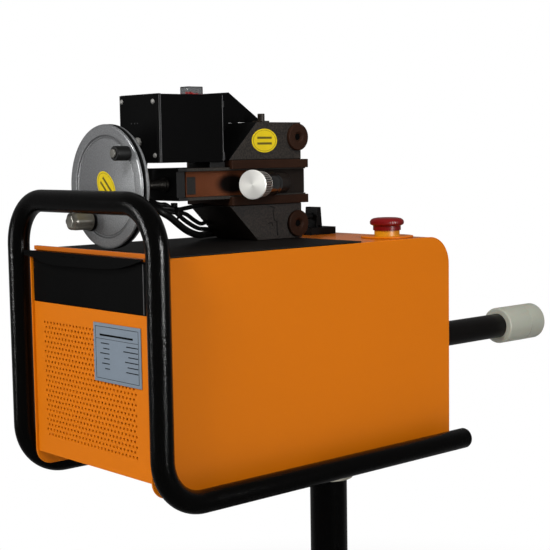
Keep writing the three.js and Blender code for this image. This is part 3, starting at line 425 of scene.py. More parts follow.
class Outputs:
    """A node's outputs, by name or number, as values."""

    def __init__(self, nodes, node):
        self.nodes, self.node = nodes, node

    def __getitem__(self, key):
        return Value(self.nodes, self.node.outputs[key])


print("sockets can now be added, multiplied and compared")

# %% [markdown]
# ## A tree of nodes
# One method adds any node: it sets the node up, then gives each of its sockets a link or a constant. Places
# go through Vector Math nodes and colours through Mix nodes, because a Math node would turn a colour grey.

# %% A tree of nodes
class NodeTree:
    """The nodes of a material or of the world. One method adds any of them."""

    def __init__(self, tree):
        self.tree = tree

    def fill(self, node, inputs):
        """Gives sockets, by name or number, a link or a constant."""
        for key, value in inputs.items():
            if isinstance(value, Value):
                self.tree.links.new(value.socket, node.inputs[key])
            else:
                node.inputs[key].default_value = value

    def node(self, kind, settings, inputs):
        """Adds a node, sets it up, then fills its sockets."""
        node = self.tree.nodes.new(kind)
        for key, value in settings.items():
            setattr(node, key, value)
        self.fill(node, inputs)
        return Outputs(self, node)

    def vector(self, operation, *parts):
        """Vector maths on values and plain directions or places."""
        parts = [part if isinstance(part, Value) else [float(c) for c in part] for part in parts]
        return self.node("ShaderNodeVectorMath", {"operation": operation}, dict(enumerate(parts)))

    def blend(self, factor, low, high):
        """A colour between two others."""
        low, high = [end if isinstance(end, Value) else (*end, 1.0) for end in (low, high)]
        return self.node("ShaderNodeMix", {"data_type": "RGBA"}, {0: factor, 6: low, 7: high})[2]


print("any node can now be added in one call")

# %% [markdown]
# ## A finish
# Every finish is one Principled shader, fed by noise read on Object coordinates. These coordinates are
# fixed to the piece, so the grain has its true size in millimetres and doesn't slide when the camera moves.
# An unwrapped image would do too, but it would need a layout for every piece.

# %% A finish
class Finish(NodeTree):
    """One material: a Principled shader, and the nodes that feed it."""

    def __init__(self, name, **constants):
        self.material = bpy.data.materials.new(name)
        self.material.use_nodes = True
        super().__init__(self.material.node_tree)
        self.shader = self.tree.nodes["Principled BSDF"]
        for socket, value in constants.items():
            self.shader.inputs[socket.replace("_", " ")].default_value = value
        self.place = self.node("ShaderNodeTexCoord", {}, {})["Object"]
        self.bumps = []

    def noise(self, per_mm, detail=2.0, roughness=0.5, stretch=(1, 1, 1)):
        """Noise with about per_mm swells a millimetre, drawn out by the stretch."""
        place = self.vector("MULTIPLY", self.place, [PER_MM * per_mm * s for s in stretch])[0]
        return self.node("ShaderNodeTexNoise", {}, {"Vector": place, "Scale": 1.0, "Detail": detail,
                                                   "Roughness": roughness})[0]

    def cells(self, per_mm):
        """Distance to the nearest of scattered points."""
        return self.node("ShaderNodeTexVoronoi", {}, {"Vector": self.place, "Scale": PER_MM * per_mm})[0]

    def axes(self):
        """The place split into x, y and z, in metres."""
        parts = self.node("ShaderNodeSeparateXYZ", {}, {0: self.place})
        return parts[0], parts[1], parts[2]

    def feed(self, socket, value):
        """Gives one of the shader's sockets a link or a constant."""
        self.fill(self.shader, {socket: value})
        return self

    def paint_over(self, mask, colour):
        """Lays a colour over the one so far, where the mask is 1."""
        so_far = Value(self, self.shader.inputs["Base Color"].links[0].from_socket)
        return self.feed("Base Color", self.blend(mask, so_far, colour))

    def relief(self, height, depth_mm):
        """A bump of the stated depth, on top of any set before."""
        inputs = {"Height": height, "Strength": 1.0, "Distance": depth_mm * MM}
        if self.bumps:
            inputs["Normal"] = self.bumps[-1]
        self.bumps.append(self.node("ShaderNodeBump", {}, inputs)["Normal"])
        return self.feed("Normal", self.bumps[-1])


def grey(level):
    return (level, level, level)


def shades(colour, low, high):
    """A darker and a lighter shade of a colour: its shares low and high, and never over 1."""
    return [tuple(min(1.0, c * share) for c in colour) for share in (low, high)]


print("shades of a mid grey:", shades(grey(0.5), 0.8, 1.2))

# %% [markdown]
# ## Powder coats
# The body's orange is a smooth powder coat with a very slight orange peel. It could be one flat colour, but
# a sprayed coat is never quite even. So a slow noise shifts the colour a little, and a fine one lifts the
# surface. The black coats are the same, with less sheen.

# %% Powder coats
def powder_coat(name, colour, roughness, grain_mm, depth_mm, shift=0.05, coat=0.0, ior=1.45):
    """A sprayed and baked coat: colour drifts slowly, and a fine grain lifts the surface."""
    finish = Finish(name, Coat_Weight=coat, Coat_Roughness=0.08, IOR=ior)
    drift = finish.noise(0.012, 3.0)
    finish.feed("Base Color", finish.blend(drift, *shades(colour, 1 - 2.2 * shift, 1 + shift)))
    grain = finish.noise(1.0 / grain_mm, 2.0)
    finish.feed("Roughness", grain * 0.12 + (roughness - 0.06))
    return finish.relief(grain, depth_mm)


orange = powder_coat("orange_powder_coat", (0.612, 0.154, 0.002), 0.34, 1.6, 0.02, 0.01, ior=1.18)
lid_orange = powder_coat("lid_orange_gloss", (0.57, 0.135, 0.006), 0.24, 2.0, 0.012, 0.012, 0.15, 1.3)
satin_black = powder_coat("satin_black", grey(0.0022), 0.42, 0.9, 0.02, 0.2, ior=1.1)
case_black = powder_coat("case_black", (0.0024, 0.0024, 0.0025), 0.4, 0.7, 0.02, 0.2, ior=1.1)
# painted highlight: a lighter grey for edges that catch light
painted_edge_highlight = powder_coat("painted_edge_highlight", (0.055, 0.055, 0.056), 0.35, 0.5, 0.05, 0.3, ior=1.45)
# painted shade: near black for holes, slots and gaps that lie in shade
painted_shade_black = powder_coat("painted_shade_black", grey(0.0008), 0.7, 0.9, 0.02, 0.2, ior=1.1)
shaft_black = powder_coat("shaft_black", (0.0052, 0.0044, 0.0040), 0.3, 1.4, 0.02, 0.3, ior=1.25)
print("materials so far, the CAD's own included:", len(bpy.data.materials))

# %% [markdown]
# ## Crinkle coat on the tubes
# The tubes wear a coarse black coat that sparkles where a lamp meets it. Roughness alone would only blur
# the lamp. Scattered cells tilt each grain its own way, so single grains flash, and a noise breaks up their
# outlines.

# %% Crinkle coat
def crinkle_black(name):
    """Grains of about a millimetre and a half, each tilted its own way, under a finer noise."""
    finish = Finish(name, IOR=1.27)
    grain = finish.cells(0.65)
    fine = finish.noise(0.75, 2.0, 0.6)
    finish.feed("Base Color", finish.blend(fine.above(0.5, 0.5), grey(0.0006), (0.0018, 0.0017, 0.0016)))
    finish.feed("Roughness", fine * 0.12 + 0.1)
    finish.relief(grain, 0.14)
    return finish.relief(fine, 0.16)


tube_black = crinkle_black("tube_crinkle_black")
print("made", tube_black.material.name, "with", len(tube_black.tree.nodes), "nodes")

# %% [markdown]
# ## Plastics and rubber
# Moulded parts take their surface from the mould, which is spark-eroded to a fine even grain. The colour
# barely changes, so one slow noise is enough for it. The switch cover is clear, so it lets light through
# and only its surface is slightly wavy.

# %% Plastics and rubber
def moulded(name, colour, roughness, grain_mm=0.6, depth_mm=0.01, ior=1.35):
    """Injection-moulded plastic: an even colour under a fine spark-eroded grain."""
    finish = Finish(name, IOR=ior)
    grain = finish.noise(1.0 / grain_mm, 2.0)
    slow = finish.noise(0.05, 2.0)
    finish.feed("Base Color", finish.blend(slow, *shades(colour, 0.86, 1.1)))
    finish.feed("Roughness", grain * 0.15 + (roughness - 0.07))
    return finish.relief(grain, depth_mm)


plastic_black = moulded("plastic_black", (0.0035, 0.0035, 0.0036), 0.42, ior=1.2)
plastic_dark = moulded("plastic_dark", (0.012, 0.012, 0.0125), 0.5)
grip_black = moulded("grip_black", (0.0055, 0.0055, 0.0053), 0.5, 0.5, 0.02, 1.3)
collar_black = moulded("collar_black", (0.004, 0.004, 0.0038), 0.17, 0.6, 0.004, 1.5)
stop_red = moulded("stop_red", (0.165, 0.0045, 0.005), 0.3)
stop_yellow = moulded("stop_yellow", (0.60, 0.25, 0.005), 0.38)
rocker_red = moulded("rocker_red", (0.42, 0.01, 0.008), 0.3)
rubber_black = moulded("rubber_black", (0.004, 0.004, 0.0041), 0.5, 0.4, 0.02, 1.25)
mat_black = moulded("mat_black", (0.0045, 0.0034, 0.0028), 0.6, 0.8, 0.03, 1.25)
tyre_grey = moulded("tyre_grey", (0.03, 0.03, 0.032), 0.7, 0.5, 0.05)

hood_clear = Finish("hood_clear", Transmission_Weight=1.0, IOR=1.46, Roughness=0.12)
hood_clear.feed("Base Color", hood_clear.blend(hood_clear.noise(0.2), (0.85, 0.86, 0.87), (0.95, 0.95, 0.96)))
hood_clear.relief(hood_clear.noise(0.12, 2.0), 0.1)
print("materials so far:", len(bpy.data.materials))

# %% [markdown]
# ## Turned metal
# A turned face has fine rings about its axis. Noise that is read only along r and along the length draws
# them: it can't change on the way round. The ring finish is therefore told where its axis runs.

# %% Turned metal
def turned_metal(name, colour, roughness, centre, way, pitch_mm, depth_mm, metallic, painted_fans=False):
    """Rings about the axis through the centre: noise read along r, the distance to it, and the length s.

    With the fans flag set, a painted highlight of two bright fans crosses the end face, for the sheen of
    brushed metal. Their tone is close to cos 2a, where a is the angle round the axis."""
    finish = Finish(name, Metallic=metallic)
    side = np.cross((0.0, 0.0, 1.0), way)
    offset = finish.vector("SUBTRACT", finish.place, centre)[0]
    axes = (way, side, np.cross(way, side))
    s, u, v = [finish.vector("DOT_PRODUCT", offset, axis)["Value"] for axis in axes]
    r = (u * u + v * v) ** 0.5
    pitches = PER_MM / pitch_mm
    flat = finish.node("ShaderNodeCombineXYZ", {}, {0: r * pitches, 1: s * pitches})[0]
    rings = finish.node("ShaderNodeTexNoise", {}, {"Vector": flat, "Scale": 1.0, "Detail": 2.0})[0]
    slow = finish.noise(0.06, 2.0)
    tone = slow * 0.6 + rings * 0.4
    # painted highlight: two bright fans, close to cos 2a, on the end face
    if painted_fans:
        turn = (u * u - v * v + u * v * 1.6) / (u * u + v * v + 1e-7)
        tone = tone * 0.5 + turn * 0.32 + 0.3
    finish.feed("Base Color", finish.blend(tone, *shades(colour, 0.72, 1.15)))
    finish.feed("Roughness", rings * 0.14 + slow * 0.08 + (roughness - 0.11))
    return finish.relief(rings, depth_mm)


print("made the ring finish, which takes its axis from each piece")

# %% [markdown]
# ## Ground metal and castings
# Ground or drawn metal has straight fine lines, which are noise pulled out along one direction. A casting
# is rough like the sand that it was poured in, so it gets coarse and fine pits under a thin dark oxide.

# %% Ground metal and castings
def ground_metal(name, colour, roughness, stretch, metallic=1.0, depth_mm=0.01, shift=0.25, ior=1.45):
    """Ground or drawn metal: noise pulled out along the grinding direction."""
    finish = Finish(name, Metallic=metallic, IOR=ior)
    lines = finish.noise(2.2, 3.0, 0.6, stretch)
    slow = finish.noise(0.05, 3.0)
    finish.feed("Base Color", finish.blend(slow * 0.7 + lines * 0.3, *shades(colour, 1 - shift, 1 + shift)))
    finish.feed("Roughness", lines * 0.2 + slow * 0.1 + (roughness - 0.15))
    return finish.relief(lines, depth_mm)


def casting(name, colour, roughness=0.5, grit=1.0):
    """A sand casting under a thin dark oxide: coarse and fine pits."""
    finish = Finish(name, Metallic=0.15, IOR=1.3)
    coarse, fine = finish.noise(0.5, 3.0, 0.65), finish.noise(1.9, 2.0)
    finish.feed("Base Color", finish.blend(coarse.above(0.5, 0.24), *shades(colour, 0.4, 1.65)))
    finish.feed("Roughness", fine * 0.2 + (roughness - 0.1))
    finish.relief(coarse, 0.22 * grit)
    return finish.relief(fine, 0.1 * grit)


cast_dark = casting("cast_dark", (0.0165, 0.0118, 0.0088), grit=1.6)
cast_fine = casting("cast_fine", (0.0195, 0.0148, 0.0112), grit=0.5)
cast_plain = casting("cast_plain", (0.05, 0.05, 0.052), 0.55)
bar_brown = ground_metal("bar_brown", (0.0275, 0.0118, 0.0068), 0.42, (0.12, 1, 1), 0.1, ior=1.12)
bright_steel = ground_metal("bright_steel", (0.45, 0.45, 0.46), 0.3, (1, 1, 1))
bolt_steel = ground_metal("bolt_steel", (0.24, 0.235, 0.22), 0.35, (1, 1, 1), 0.3)
screw_steel = ground_metal("screw_steel", (0.03, 0.028, 0.025), 0.3, (1, 1, 1), 0.8)
zinc_plate = ground_metal("zinc_plate", (0.42, 0.40, 0.33), 0.4, (1, 1, 0.2), 0.3, 0.01, 0.15)
plate_print = ground_metal("plate_print", (0.175, 0.215, 0.26), 0.4, (1, 0.1, 1), 0.1, 0.004, 0.06)
print("materials so far:", len(bpy.data.materials))

# %% [markdown]
# ## Keeping the books
# Every piece needs a body to ride on, the CAD node that it stands for, and a material. These calls could
# follow each piece one by one. One function does all three instead, and looks the body up from the node, so
# that a piece can't end up on the wrong one.

# %% Bookkeeping
BODY_OF = {node: body for body, nodes in frame["record"]["behaviour"]["bodies"].items() for node in nodes}
made = []


def wear(piece, finish):
    """The piece takes one finish, and is noted as made."""
    piece.data.materials.clear()
    piece.data.materials.append(finish.material)
    made.append(piece.name)
    return piece


def stands_for(piece, node, finish):
    """The piece replaces a CAD node, rides on that node's body and wears a finish."""
    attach(wear(piece, finish), BODY_OF[node])
    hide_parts(node)
    return piece


def rides_with(piece, node, finish):
    """An extra piece that moves with a node's body."""
    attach(wear(piece, finish), BODY_OF[node])
    return piece


def show_made():
    """Prints the pieces made since the last call."""
    print("made", ", ".join(made))
    made.clear()


print("bodies:", len(set(BODY_OF.values())), "nodes:", len(BODY_OF))

# %% [markdown]
# ## Tube frame
# The hoop is one run of 25 mm tube with four large bends, and it ends where the two rails are butted on. A
# circle carried along the bent centre line makes it, with stations every few millimetres on the bends so
# that their outline stays round. The rails are straight, so they are turned pieces, and only their far ends
# are rounded.

# %% Tube frame
TUBE_R, BEND_R = 12.5, 52.0
TUBE_Y = 112.4 + 7.9 + TUBE_R
HOOP_X, HOOP_Z = -1.5, 311.8
FOOT_X = BEND_R + HOOP_X + 12
RAIL_END = 473.4

hoop_line = bent([(FOOT_X, -TUBE_Y, 0), (HOOP_X, -TUBE_Y, 0), (HOOP_X, -TUBE_Y, HOOP_Z),
                  (HOOP_X, TUBE_Y, HOOP_Z), (HOOP_X, TUBE_Y, 0), (FOOT_X, TUBE_Y, 0)], BEND_R)
stands_for(swept("frame_hoop_fine", hoop_line, TUBE_R, sides=48, caps=0.0), "frame_hoop", tube_black)
rail_line = [(FOOT_X + 0.3, 0), (FOOT_X + 0.3, TUBE_R), (RAIL_END - 3, TUBE_R),
             (RAIL_END - 0.9, TUBE_R - 0.9), (RAIL_END, TUBE_R - 3), (RAIL_END, 0)]
for name, side in (("rail_near", -1), ("rail_far", 1)):
    rail = turned(name + "_fine", rail_line, "x", (0, side * TUBE_Y, 0), sides=64, soft=0.25)
    stands_for(rail, name, tube_black)
print("hoop stations", len(hoop_line))
show_made()

# %% [markdown]
# ## Body panels
# The near panel is a flat sheet with a small rounded front-bottom corner and a large one at the top rear.
# Its outline is two arcs and three straight edges, so it is drawn as such and given its thickness. The
# folded edges are about a millimetre round. The other panels are bent sheets that the CAD already has
# right, so they are dressed copies.

# %% Body panels
BODY_L, HALF, SIDE_TOP, SIDE_FOOT = 467.0, 112.4, 254.5, 5.0
CROWN_R, FOOT_R = 35.0, 20.0
SHEET = 2.0


def arc(centre, radius, start, end, steps):
    """Points on a circle from the start angle to the end angle, in degrees."""
    a = np.radians(np.linspace(start, end, steps))
    return np.stack([centre[0] + radius * np.cos(a), centre[1] + radius * np.sin(a)], axis=1)


crown = arc((BODY_L - CROWN_R, SIDE_TOP - CROWN_R), CROWN_R, 0, 90, 20)
heel = arc((FOOT_R, SIDE_FOOT + FOOT_R), FOOT_R, 180, 270, 14)
side_outline = np.concatenate([[(BODY_L, SIDE_FOOT)], crown, [(0, SIDE_TOP)], heel])
for name, limits in (("side_panel_near", (-HALF, -HALF + SHEET)), ("side_panel_far", (HALF - SHEET, HALF))):
    # across Y the outline's two directions are z and x, so its columns are swapped
    stands_for(slab(name + "_fine", side_outline[:, ::-1], "y", limits, bevel=0.8, segments=3), name, orange)

stands_for(dressed("top_cover", 0.5), "top_cover", lid_orange)
stands_for(dressed("bottom_tray", 0.4), "bottom_tray", orange)
stands_for(dressed("top_mat", 0.6), "top_mat", mat_black)
stands_for(dressed("pocket_panel", 0.5), "pocket_panel", satin_black)
show_made()

# %% [markdown]
# ## Vent holes
# The end panel carries a staggered field of punched holes. A dark dot pattern in the material would pass
# from afar, but a hole has an edge that catches light. So one cutter mesh holds all the pins, and a Boolean
# cuts them at once, which is far quicker than one Boolean for each hole.

# %% Vent holes
VENT_ROWS, VENT_COLUMNS = 24, 27
VENT_Y, VENT_Z = (29.4 - HALF, 202.0 - HALF), (45.4, 174.0)
VENT_R, PIN_SIDES, PIN_LENGTH = 1.65, 12, 8.0


def vent_pins():
    """Short pins in staggered rows: every other row is shifted by half a column."""
    pitch = (VENT_Y[1] - VENT_Y[0]) / (VENT_COLUMNS - 0.5)
    grid = np.meshgrid(np.arange(VENT_ROWS), np.arange(VENT_COLUMNS), indexing="ij")
    row, column = [part.ravel() for part in grid]
    y = VENT_Y[0] + pitch * (column + 0.5 * (row % 2))
    z = VENT_Z[0] + (VENT_Z[1] - VENT_Z[0]) * row / (VENT_ROWS - 1)
    a = 2 * math.pi * np.arange(PIN_SIDES) / PIN_SIDES
    ring_y = y[:, None] + VENT_R * np.cos(a)[None]
    ring_z = z[:, None] + VENT_R * np.sin(a)[None]
    ends = [np.stack([np.full_like(ring_y, x), ring_y, ring_z], axis=-1) for x in (0.0, PIN_LENGTH)]
    first = np.arange(len(y))[:, None] * 2 * PIN_SIDES
    i = np.arange(PIN_SIDES)
    this, following = first + i, first + (i + 1) % PIN_SIDES
    walls = np.stack([this, following, following + PIN_SIDES, this + PIN_SIDES], axis=-1)
    caps = [list(r[::-1]) for r in this] + [list(r + PIN_SIDES) for r in this]
    return np.stack(ends, axis=1).reshape(-1, 3), walls.reshape(-1, 4).tolist() + caps


end_panel = dressed("end_panel", 0)
pins = weld("vent_cutter", *vent_pins())
cut = end_panel.modifiers.new("vents", "BOOLEAN")
cut.object, cut.operation, cut.solver = pins, "DIFFERENCE", "EXACT"
apply_modifiers(end_panel)
end_panel.data.shade_flat()
bpy.data.objects.remove(pins)
stands_for(end_panel, "end_panel", orange)
print("vent holes", VENT_ROWS * VENT_COLUMNS, "faces", len(end_panel.data.polygons))
show_made()

# %% [markdown]
# ## Rating plate and guard
# The plate is thin printed aluminium. Its lines could be drawn in the material, but thin raised bars stay
# crisp in a close view and come along in the exported mesh. The dark guard under the lip is a bowed strip
# with three short slots, and the black panel has a bright folded hem at one side.

# %% Plate and guard
stands_for(dressed("rating_plate", 0.25), "rating_plate", plate_print)
PLATE_Y, PLATE_Z = (-95.7, -9.7), (119.7, 183.2)


def print_bars(rows, face=1.86, proud=0.12):
    """Flat bars on the plate's face: each row is (left share, right share, height share, thickness mm)."""
    pieces = []
    for left, end, level, thick in rows:
        ys = [PLATE_Y[0] + (PLATE_Y[1] - PLATE_Y[0]) * s for s in (left, end)]
        z = PLATE_Z[0] + (PLATE_Z[1] - PLATE_Z[0]) * level
        pieces.append(brick("bar", (face - proud, face + 0.02), ys, (z - thick / 2, z + thick / 2), bevel=0))
    return joined("plate_lines", *pieces)


LEFT_SHARES, RIGHT_SHARES = (0.24, 0.3, 0.2, 0.27, 0.22, 0.25), (0.18, 0.13, 0.2, 0.12, 0.16, 0.1)
line_rows = [(0.16, 0.86, 0.8, 2.0)]
for left, widths in ((0.06, LEFT_SHARES), (0.66, RIGHT_SHARES)):
    line_rows += [(left, left + width, 0.66 - 0.085 * i, 1.0) for i, width in enumerate(widths)]
line_rows += [(0.05, 0.95, 0.735, 0.35), (0.05, 0.95, 0.06, 0.45), (0.05, 0.95, 0.94, 0.45)]
line_rows += [(left, left + 0.006, 0.5, 56.0) for left in (0.046, 0.948)]
rides_with(print_bars(line_rows), "rating_plate", satin_black)
# the slots are thin dark plates: painted shade in place of openings
slots = [brick("slot", (-3.35, -3.1), (y - 3.4, y + 3.4), (z - 0.55, z + 0.55), bevel=0) for y, z in
         ((36.5, 251.3), (18.7, 251.2), (1.0, 251.0))]
rides_with(joined("guard_slots", *slots), "grip_guard", painted_shade_black)
# the hem wears a lighter grey: a painted highlight on the folded edge
hem = brick("pocket_hem", (2.3, 2.95), (-102.6, -101.2), (197.5, 250.0), bevel=0.2)
rides_with(hem, "pocket_panel", painted_edge_highlight)

stands_for(dressed("grip_guard", 0.4), "grip_guard", satin_black)
stands_for(dressed("power_inlet", 0.4), "power_inlet", plastic_black)
stands_for(dressed("shaft_flange", 0.6), "shaft_flange", cast_plain)
show_made()

# %% [markdown]
# ## Emergency stop
# A thin round plate, a yellow collar and a red mushroom whose rim carries fine ribs. The ribs could be 48
# small blocks, but a moulded rib grows out of the rim. So all three are turned profiles, and the ribs are a
# small wave of the radius that fades out above and below the rim.

# %% Emergency stop
STOP = (402.6, -66.8, 0.0)
RIB_COUNT, RIB_HEIGHT, RIB_REACH = 48, 273.0, 2.4
stop_base = [(228.2, 6.3), (228.2, 11), (254.5, 11), (254.5, 32.5), (256.1, 32.5), (256.1, 15.7),
             (263.8, 15.7), (263.8, 6.3), (228.2, 6.3)]
stands_for(turned("estop_base_fine", stop_base, "z", STOP, soft=0.4), "estop_base", stop_yellow)
stop_plate = [(254.45, 15.8), (254.45, 32.6), (256.2, 32.6), (256.2, 15.8), (254.45, 15.8)]
rides_with(turned("estop_plate", stop_plate, "z", STOP, soft=0.5), "estop_base", orange)

stop_head = [(252.2, 0), (252.2, 6), (268.1, 6), (268.1, 16), (263.4, 16), (263.4, 17.3), (268.9, 17.2),
             (269.6, 19.0), (270.6, 20.7), (271.6, 21), (274.4, 21), (276.6, 19.6), (278.0, 17.0),
             (278.7, 13), (279.0, 7), (279.0, 0)]


def rim_ribs(s, a):
    """Ribs whose height fades away from the middle of the rim: 1 + k cos(count a)."""
    fade = np.clip(1 - np.abs(s - RIB_HEIGHT) / RIB_REACH, 0, 1)
    return 1 + 0.008 * fade * np.cos(RIB_COUNT * a)


mushroom = turned("estop_head_fine", stop_head, "z", STOP, sides=6 * RIB_COUNT, soft=0.35, waves=rim_ribs)
stands_for(mushroom, "estop_head", stop_red)
show_made()

# %% [markdown]
# ## Drive shaft, sleeve and post
# The pale sleeve is turned nylon with softly rounded rims and a seam ring near its end. Nylon lets light in
# a little way, so its shader has some subsurface scattering, which keeps the shaded side from going flat
# grey. Faint turning rings and a slow stain make up the rest. Shaft and post are plain turned profiles.

# %% Drive shaft and post
SHAFT = (0, 0, 106.8)


def turned_nylon(name):
    """Nylon: light scatters inside a little, and the tool left faint rings along the length."""
    finish = Finish(name, Subsurface_Weight=0.15, Subsurface_Scale=0.004)
    rings = finish.noise(0.5, 2.0, 0.5, (1, 0.05, 0.05))
    stain = finish.noise(0.03, 3.0)
    finish.feed("Base Color", finish.blend(stain, (0.30, 0.305, 0.25), (0.39, 0.395, 0.33)))
    finish.feed("Roughness", rings * 0.2 + 0.32)
    return finish.relief(rings, 0.05)


shaft_line = [(349, 0), (349, 17.1), (756, 17.1), (756, 0)]
stands_for(turned("drive_shaft_fine", shaft_line, "x", SHAFT, soft=1.0), "drive_shaft", shaft_black)
sleeve = [(704, 17.4), (704, 24), (705.6, 25.6), (752, 25.6), (753, 25.6), (753.6, 24.8), (754.2, 25.6),
          (755.2, 25.6), (783.4, 25.6), (785, 24), (785, 17.4), (704, 17.4)]
nylon = turned_nylon("sleeve_nylon")
stands_for(turned("shaft_sleeve_fine", sleeve, "x", SHAFT, soft=2.2), "shaft_sleeve", nylon)
POST = (361, 0, 0)
post = [(-456.3, 0), (-456.3, 23.7), (-53.3, 23.7), (-53.3, 31), (-48.3, 31), (-48.3, 20), (-9, 20), (-9, 0)]
stands_for(turned("post_fine", post, "z", POST, sides=72, soft=1.0), "post", tube_black)
washer = [(-52.9, 30), (-52.9, 31.2), (-48.7, 31.2), (-48.7, 30), (-52.9, 30)]
rides_with(turned("thrust_washer", washer, "z", POST, sides=72, soft=0.4), "post", zinc_plate)
stands_for(dressed("carrier", 0.8), "carrier", tube_black)
show_made()

# %% [markdown]
# ## Stand
# The stand is plain: a welded H of box tube, a column with a split collar, and four castors. Most CAD
# shapes here are right, so they are copied with rounded edges. The wheels are turned anew, with a crowned
# tread and a dished hub.

# %% Stand
stands_for(dressed("base_frame", 3.0, 3), "base_frame", tube_black)
stands_for(dressed("column", 0.8), "column", tube_black)
stands_for(dressed("clamp_knob", 1.2, 3), "clamp_knob", rubber_black)
WHEEL_R, WHEEL_HALF = 37.5, 12.0
half_wheel = [(WHEEL_HALF, 5.3), (WHEEL_HALF, 14), (8, 14.6), (8, 27.5), (9.4, 30), (WHEEL_HALF, 31.5),
              (10.5, 35.6), (7, WHEEL_R)]
castor_line = [(-s, r) for s, r in half_wheel] + half_wheel[::-1] + [(-WHEEL_HALF, 5.3)]
for number in range(1, 5):
    low, high = [np.array(corner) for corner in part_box(f"castor_wheel_{number}")]
    centre = ((low + high) / 2 - FLOOR) / MM
    wheel = turned(f"castor_wheel_{number}_fine", castor_line, "y", centre, FLOOR, 72, soft=1.0)
    stands_for(wheel, f"castor_wheel_{number}", tyre_grey)
    stands_for(dressed(f"castor_fork_{number}", 0.5), f"castor_fork_{number}", zinc_plate)
show_made()

# %% [markdown]
# ## Cutting head: finishes with dark places
# The slide is a ground bar the colour of copper, with a painted dark oval that stands for the knob's shadow
# and reflection, and a dull grey rear end. The bearing block is black, one slanted face gets painted shade,
# and the housing above its plate edge gets a painted shadow. Each place could be a piece of its own, but
# there is no step between them. So a mask worked out from the place on the piece lays the second colour over
# the first.

# %% Dark places
def head_place(x=0.0, z=0.0):
    """A place in mm on the head's board, as x and z in metres."""
    place = on_board((x, 0, z), HEAD)
    return float(place[0]), float(place[2])


def painted_shade_oval(finish, centre, radii, dark):
    """Paints shade: a dark colour inside an oval, where hypot((x - cx) / a, (z - cz) / b) is under about 0.9.
    """
    cx, cz = head_place(*centre)
    x, y, z = finish.axes()
    across, up = (x - cx) * (PER_MM / radii[0]), (z - cz) * (PER_MM / radii[1])
    edge = ((across * across + up * up) ** 0.5).above(0.9, 0.6)
    return finish.paint_over(1.0 - edge, dark)


def painted_slant_shade(finish, start, end, depth_mm):
    """Painted shade, near black, on the slanted face through two places: d is how far inside it a point lies.
    """
    (x0, z0), (x1, z1) = head_place(*start), head_place(*end)
    length = math.hypot(x1 - x0, z1 - z0)
    x, y, z = finish.axes()
    d = (x - x0) * ((z1 - z0) / length) - (z - z0) * ((x1 - x0) / length)
    return finish.paint_over(1.0 - d.above(depth_mm * MM, 0.3 * MM), grey(0.0015))


GREY_REAR_X, BEARING_X = head_place(x=238.0)[0], head_place(x=136.0)[0]
PAINTED_SHADOW_Z = head_place(z=19.3)[1]

slide_copper = ground_metal("slide_copper", (0.118, 0.036, 0.0145), 0.36, (0.1, 1, 1), 0.15, ior=1.12)
# painted shade: a dark oval for the knob's shadow and reflection on the copper
painted_shade_oval(slide_copper, (205, -1), (24, 13), (0.003, 0.0018, 0.0015))
# the slide is a dull dark grey past x = 238 mm on the head's board
slide_copper.paint_over(slide_copper.axes()[0].above(GREY_REAR_X, 3 * MM), (0.0185, 0.0142, 0.0118))

housing_dark = casting("housing_dark", (0.021, 0.017, 0.013), grit=0.4)
x, y, z = housing_dark.axes()
# painted shadow: the housing is near black above the plate edge, z = 19.3 mm on the head's board
housing_dark.paint_over(z.above(PAINTED_SHADOW_Z, 0.6 * MM), grey(0.002))
housing_dark.paint_over(1.0 - x.above(BEARING_X, 0.5 * MM), grey(0.003))
insert_dark = casting("insert_dark", (0.0055, 0.0042, 0.0030), grit=0.4)
# painted shade: the upper arm's slanted face is darkened to near black
painted_slant_shade(cast_fine, (197.5, 26.8), (241.2, 71.0), 0.45)
print("slide's finish has", len(slide_copper.tree.nodes), "nodes")

# %% [markdown]
# ## Cutting head: castings and bars
# The two arms are dark castings, and the guide bars and bosses are brown oxidised steel. Copies of the CAD
# nodes with rounded edges are enough here, because their faces are flat and the finish does the rest. The
# bosses are turned anew for their chamfered holes. Two wipers and a seam strip close the thin gaps that
# light would shine through.

# %% Castings and bars
for node, finish, width in (("arm_upper", cast_fine, 0.9), ("arm_lower", cast_dark, 0.9),
                            ("guide_bar_upper", bar_brown, 0.7), ("guide_bar_lower", bar_brown, 0.7),
                            ("slide_housing", housing_dark, 0.5), ("tie_plate", case_black, 0.5),
                            ("tool_near", bright_steel, 0.4), ("tool_far", bright_steel, 0.4),
                            ("connector", plastic_black, 0.8), ("feed_motor", bright_steel, 0.6),
                            ("slide", slide_copper, 0.35)):
    stands_for(dressed(node, width, 3), node, finish)

BOSS_FACE, ARM_FACE = -29.0, -25.0
boss_line = [(BOSS_FACE + 2.4, 4), (BOSS_FACE + 1.6, 4.6), (BOSS_FACE, 6.8), (BOSS_FACE, 15.3),
             (BOSS_FACE + 1, 16.3), (BOSS_FACE + 3.7, 16.3), (BOSS_FACE + 3.7, 4), (BOSS_FACE + 2.4, 4)]
hole_line = [(ARM_FACE - 1.1, 0), (ARM_FACE - 1.1, 4.3), (ARM_FACE, 4.3), (ARM_FACE, 0)]
for node, place, rise in (("boss_upper", 305.9, 53.1), ("boss_lower", 304.5, -51.8)):
    stands_for(turned(node + "_fine", boss_line, "y", (place, 0, rise), HEAD, 80, 0.4), node, bar_brown)
    # a dark disc in each bore: painted shade
    rides_with(turned(node + "_hole", hole_line, "y", (place, 0, rise), HEAD, 40, 0), node, painted_shade_black)

insert_outline = [(-11.6, 137.4), (8.4, 137.4), (8.4, 150.3), (-11.6, 150.3)]
insert = slab("slide_insert", insert_outline, "y", (-21.35, -20.6), HEAD, 0.2)
rides_with(insert, "slide", insert_dark)
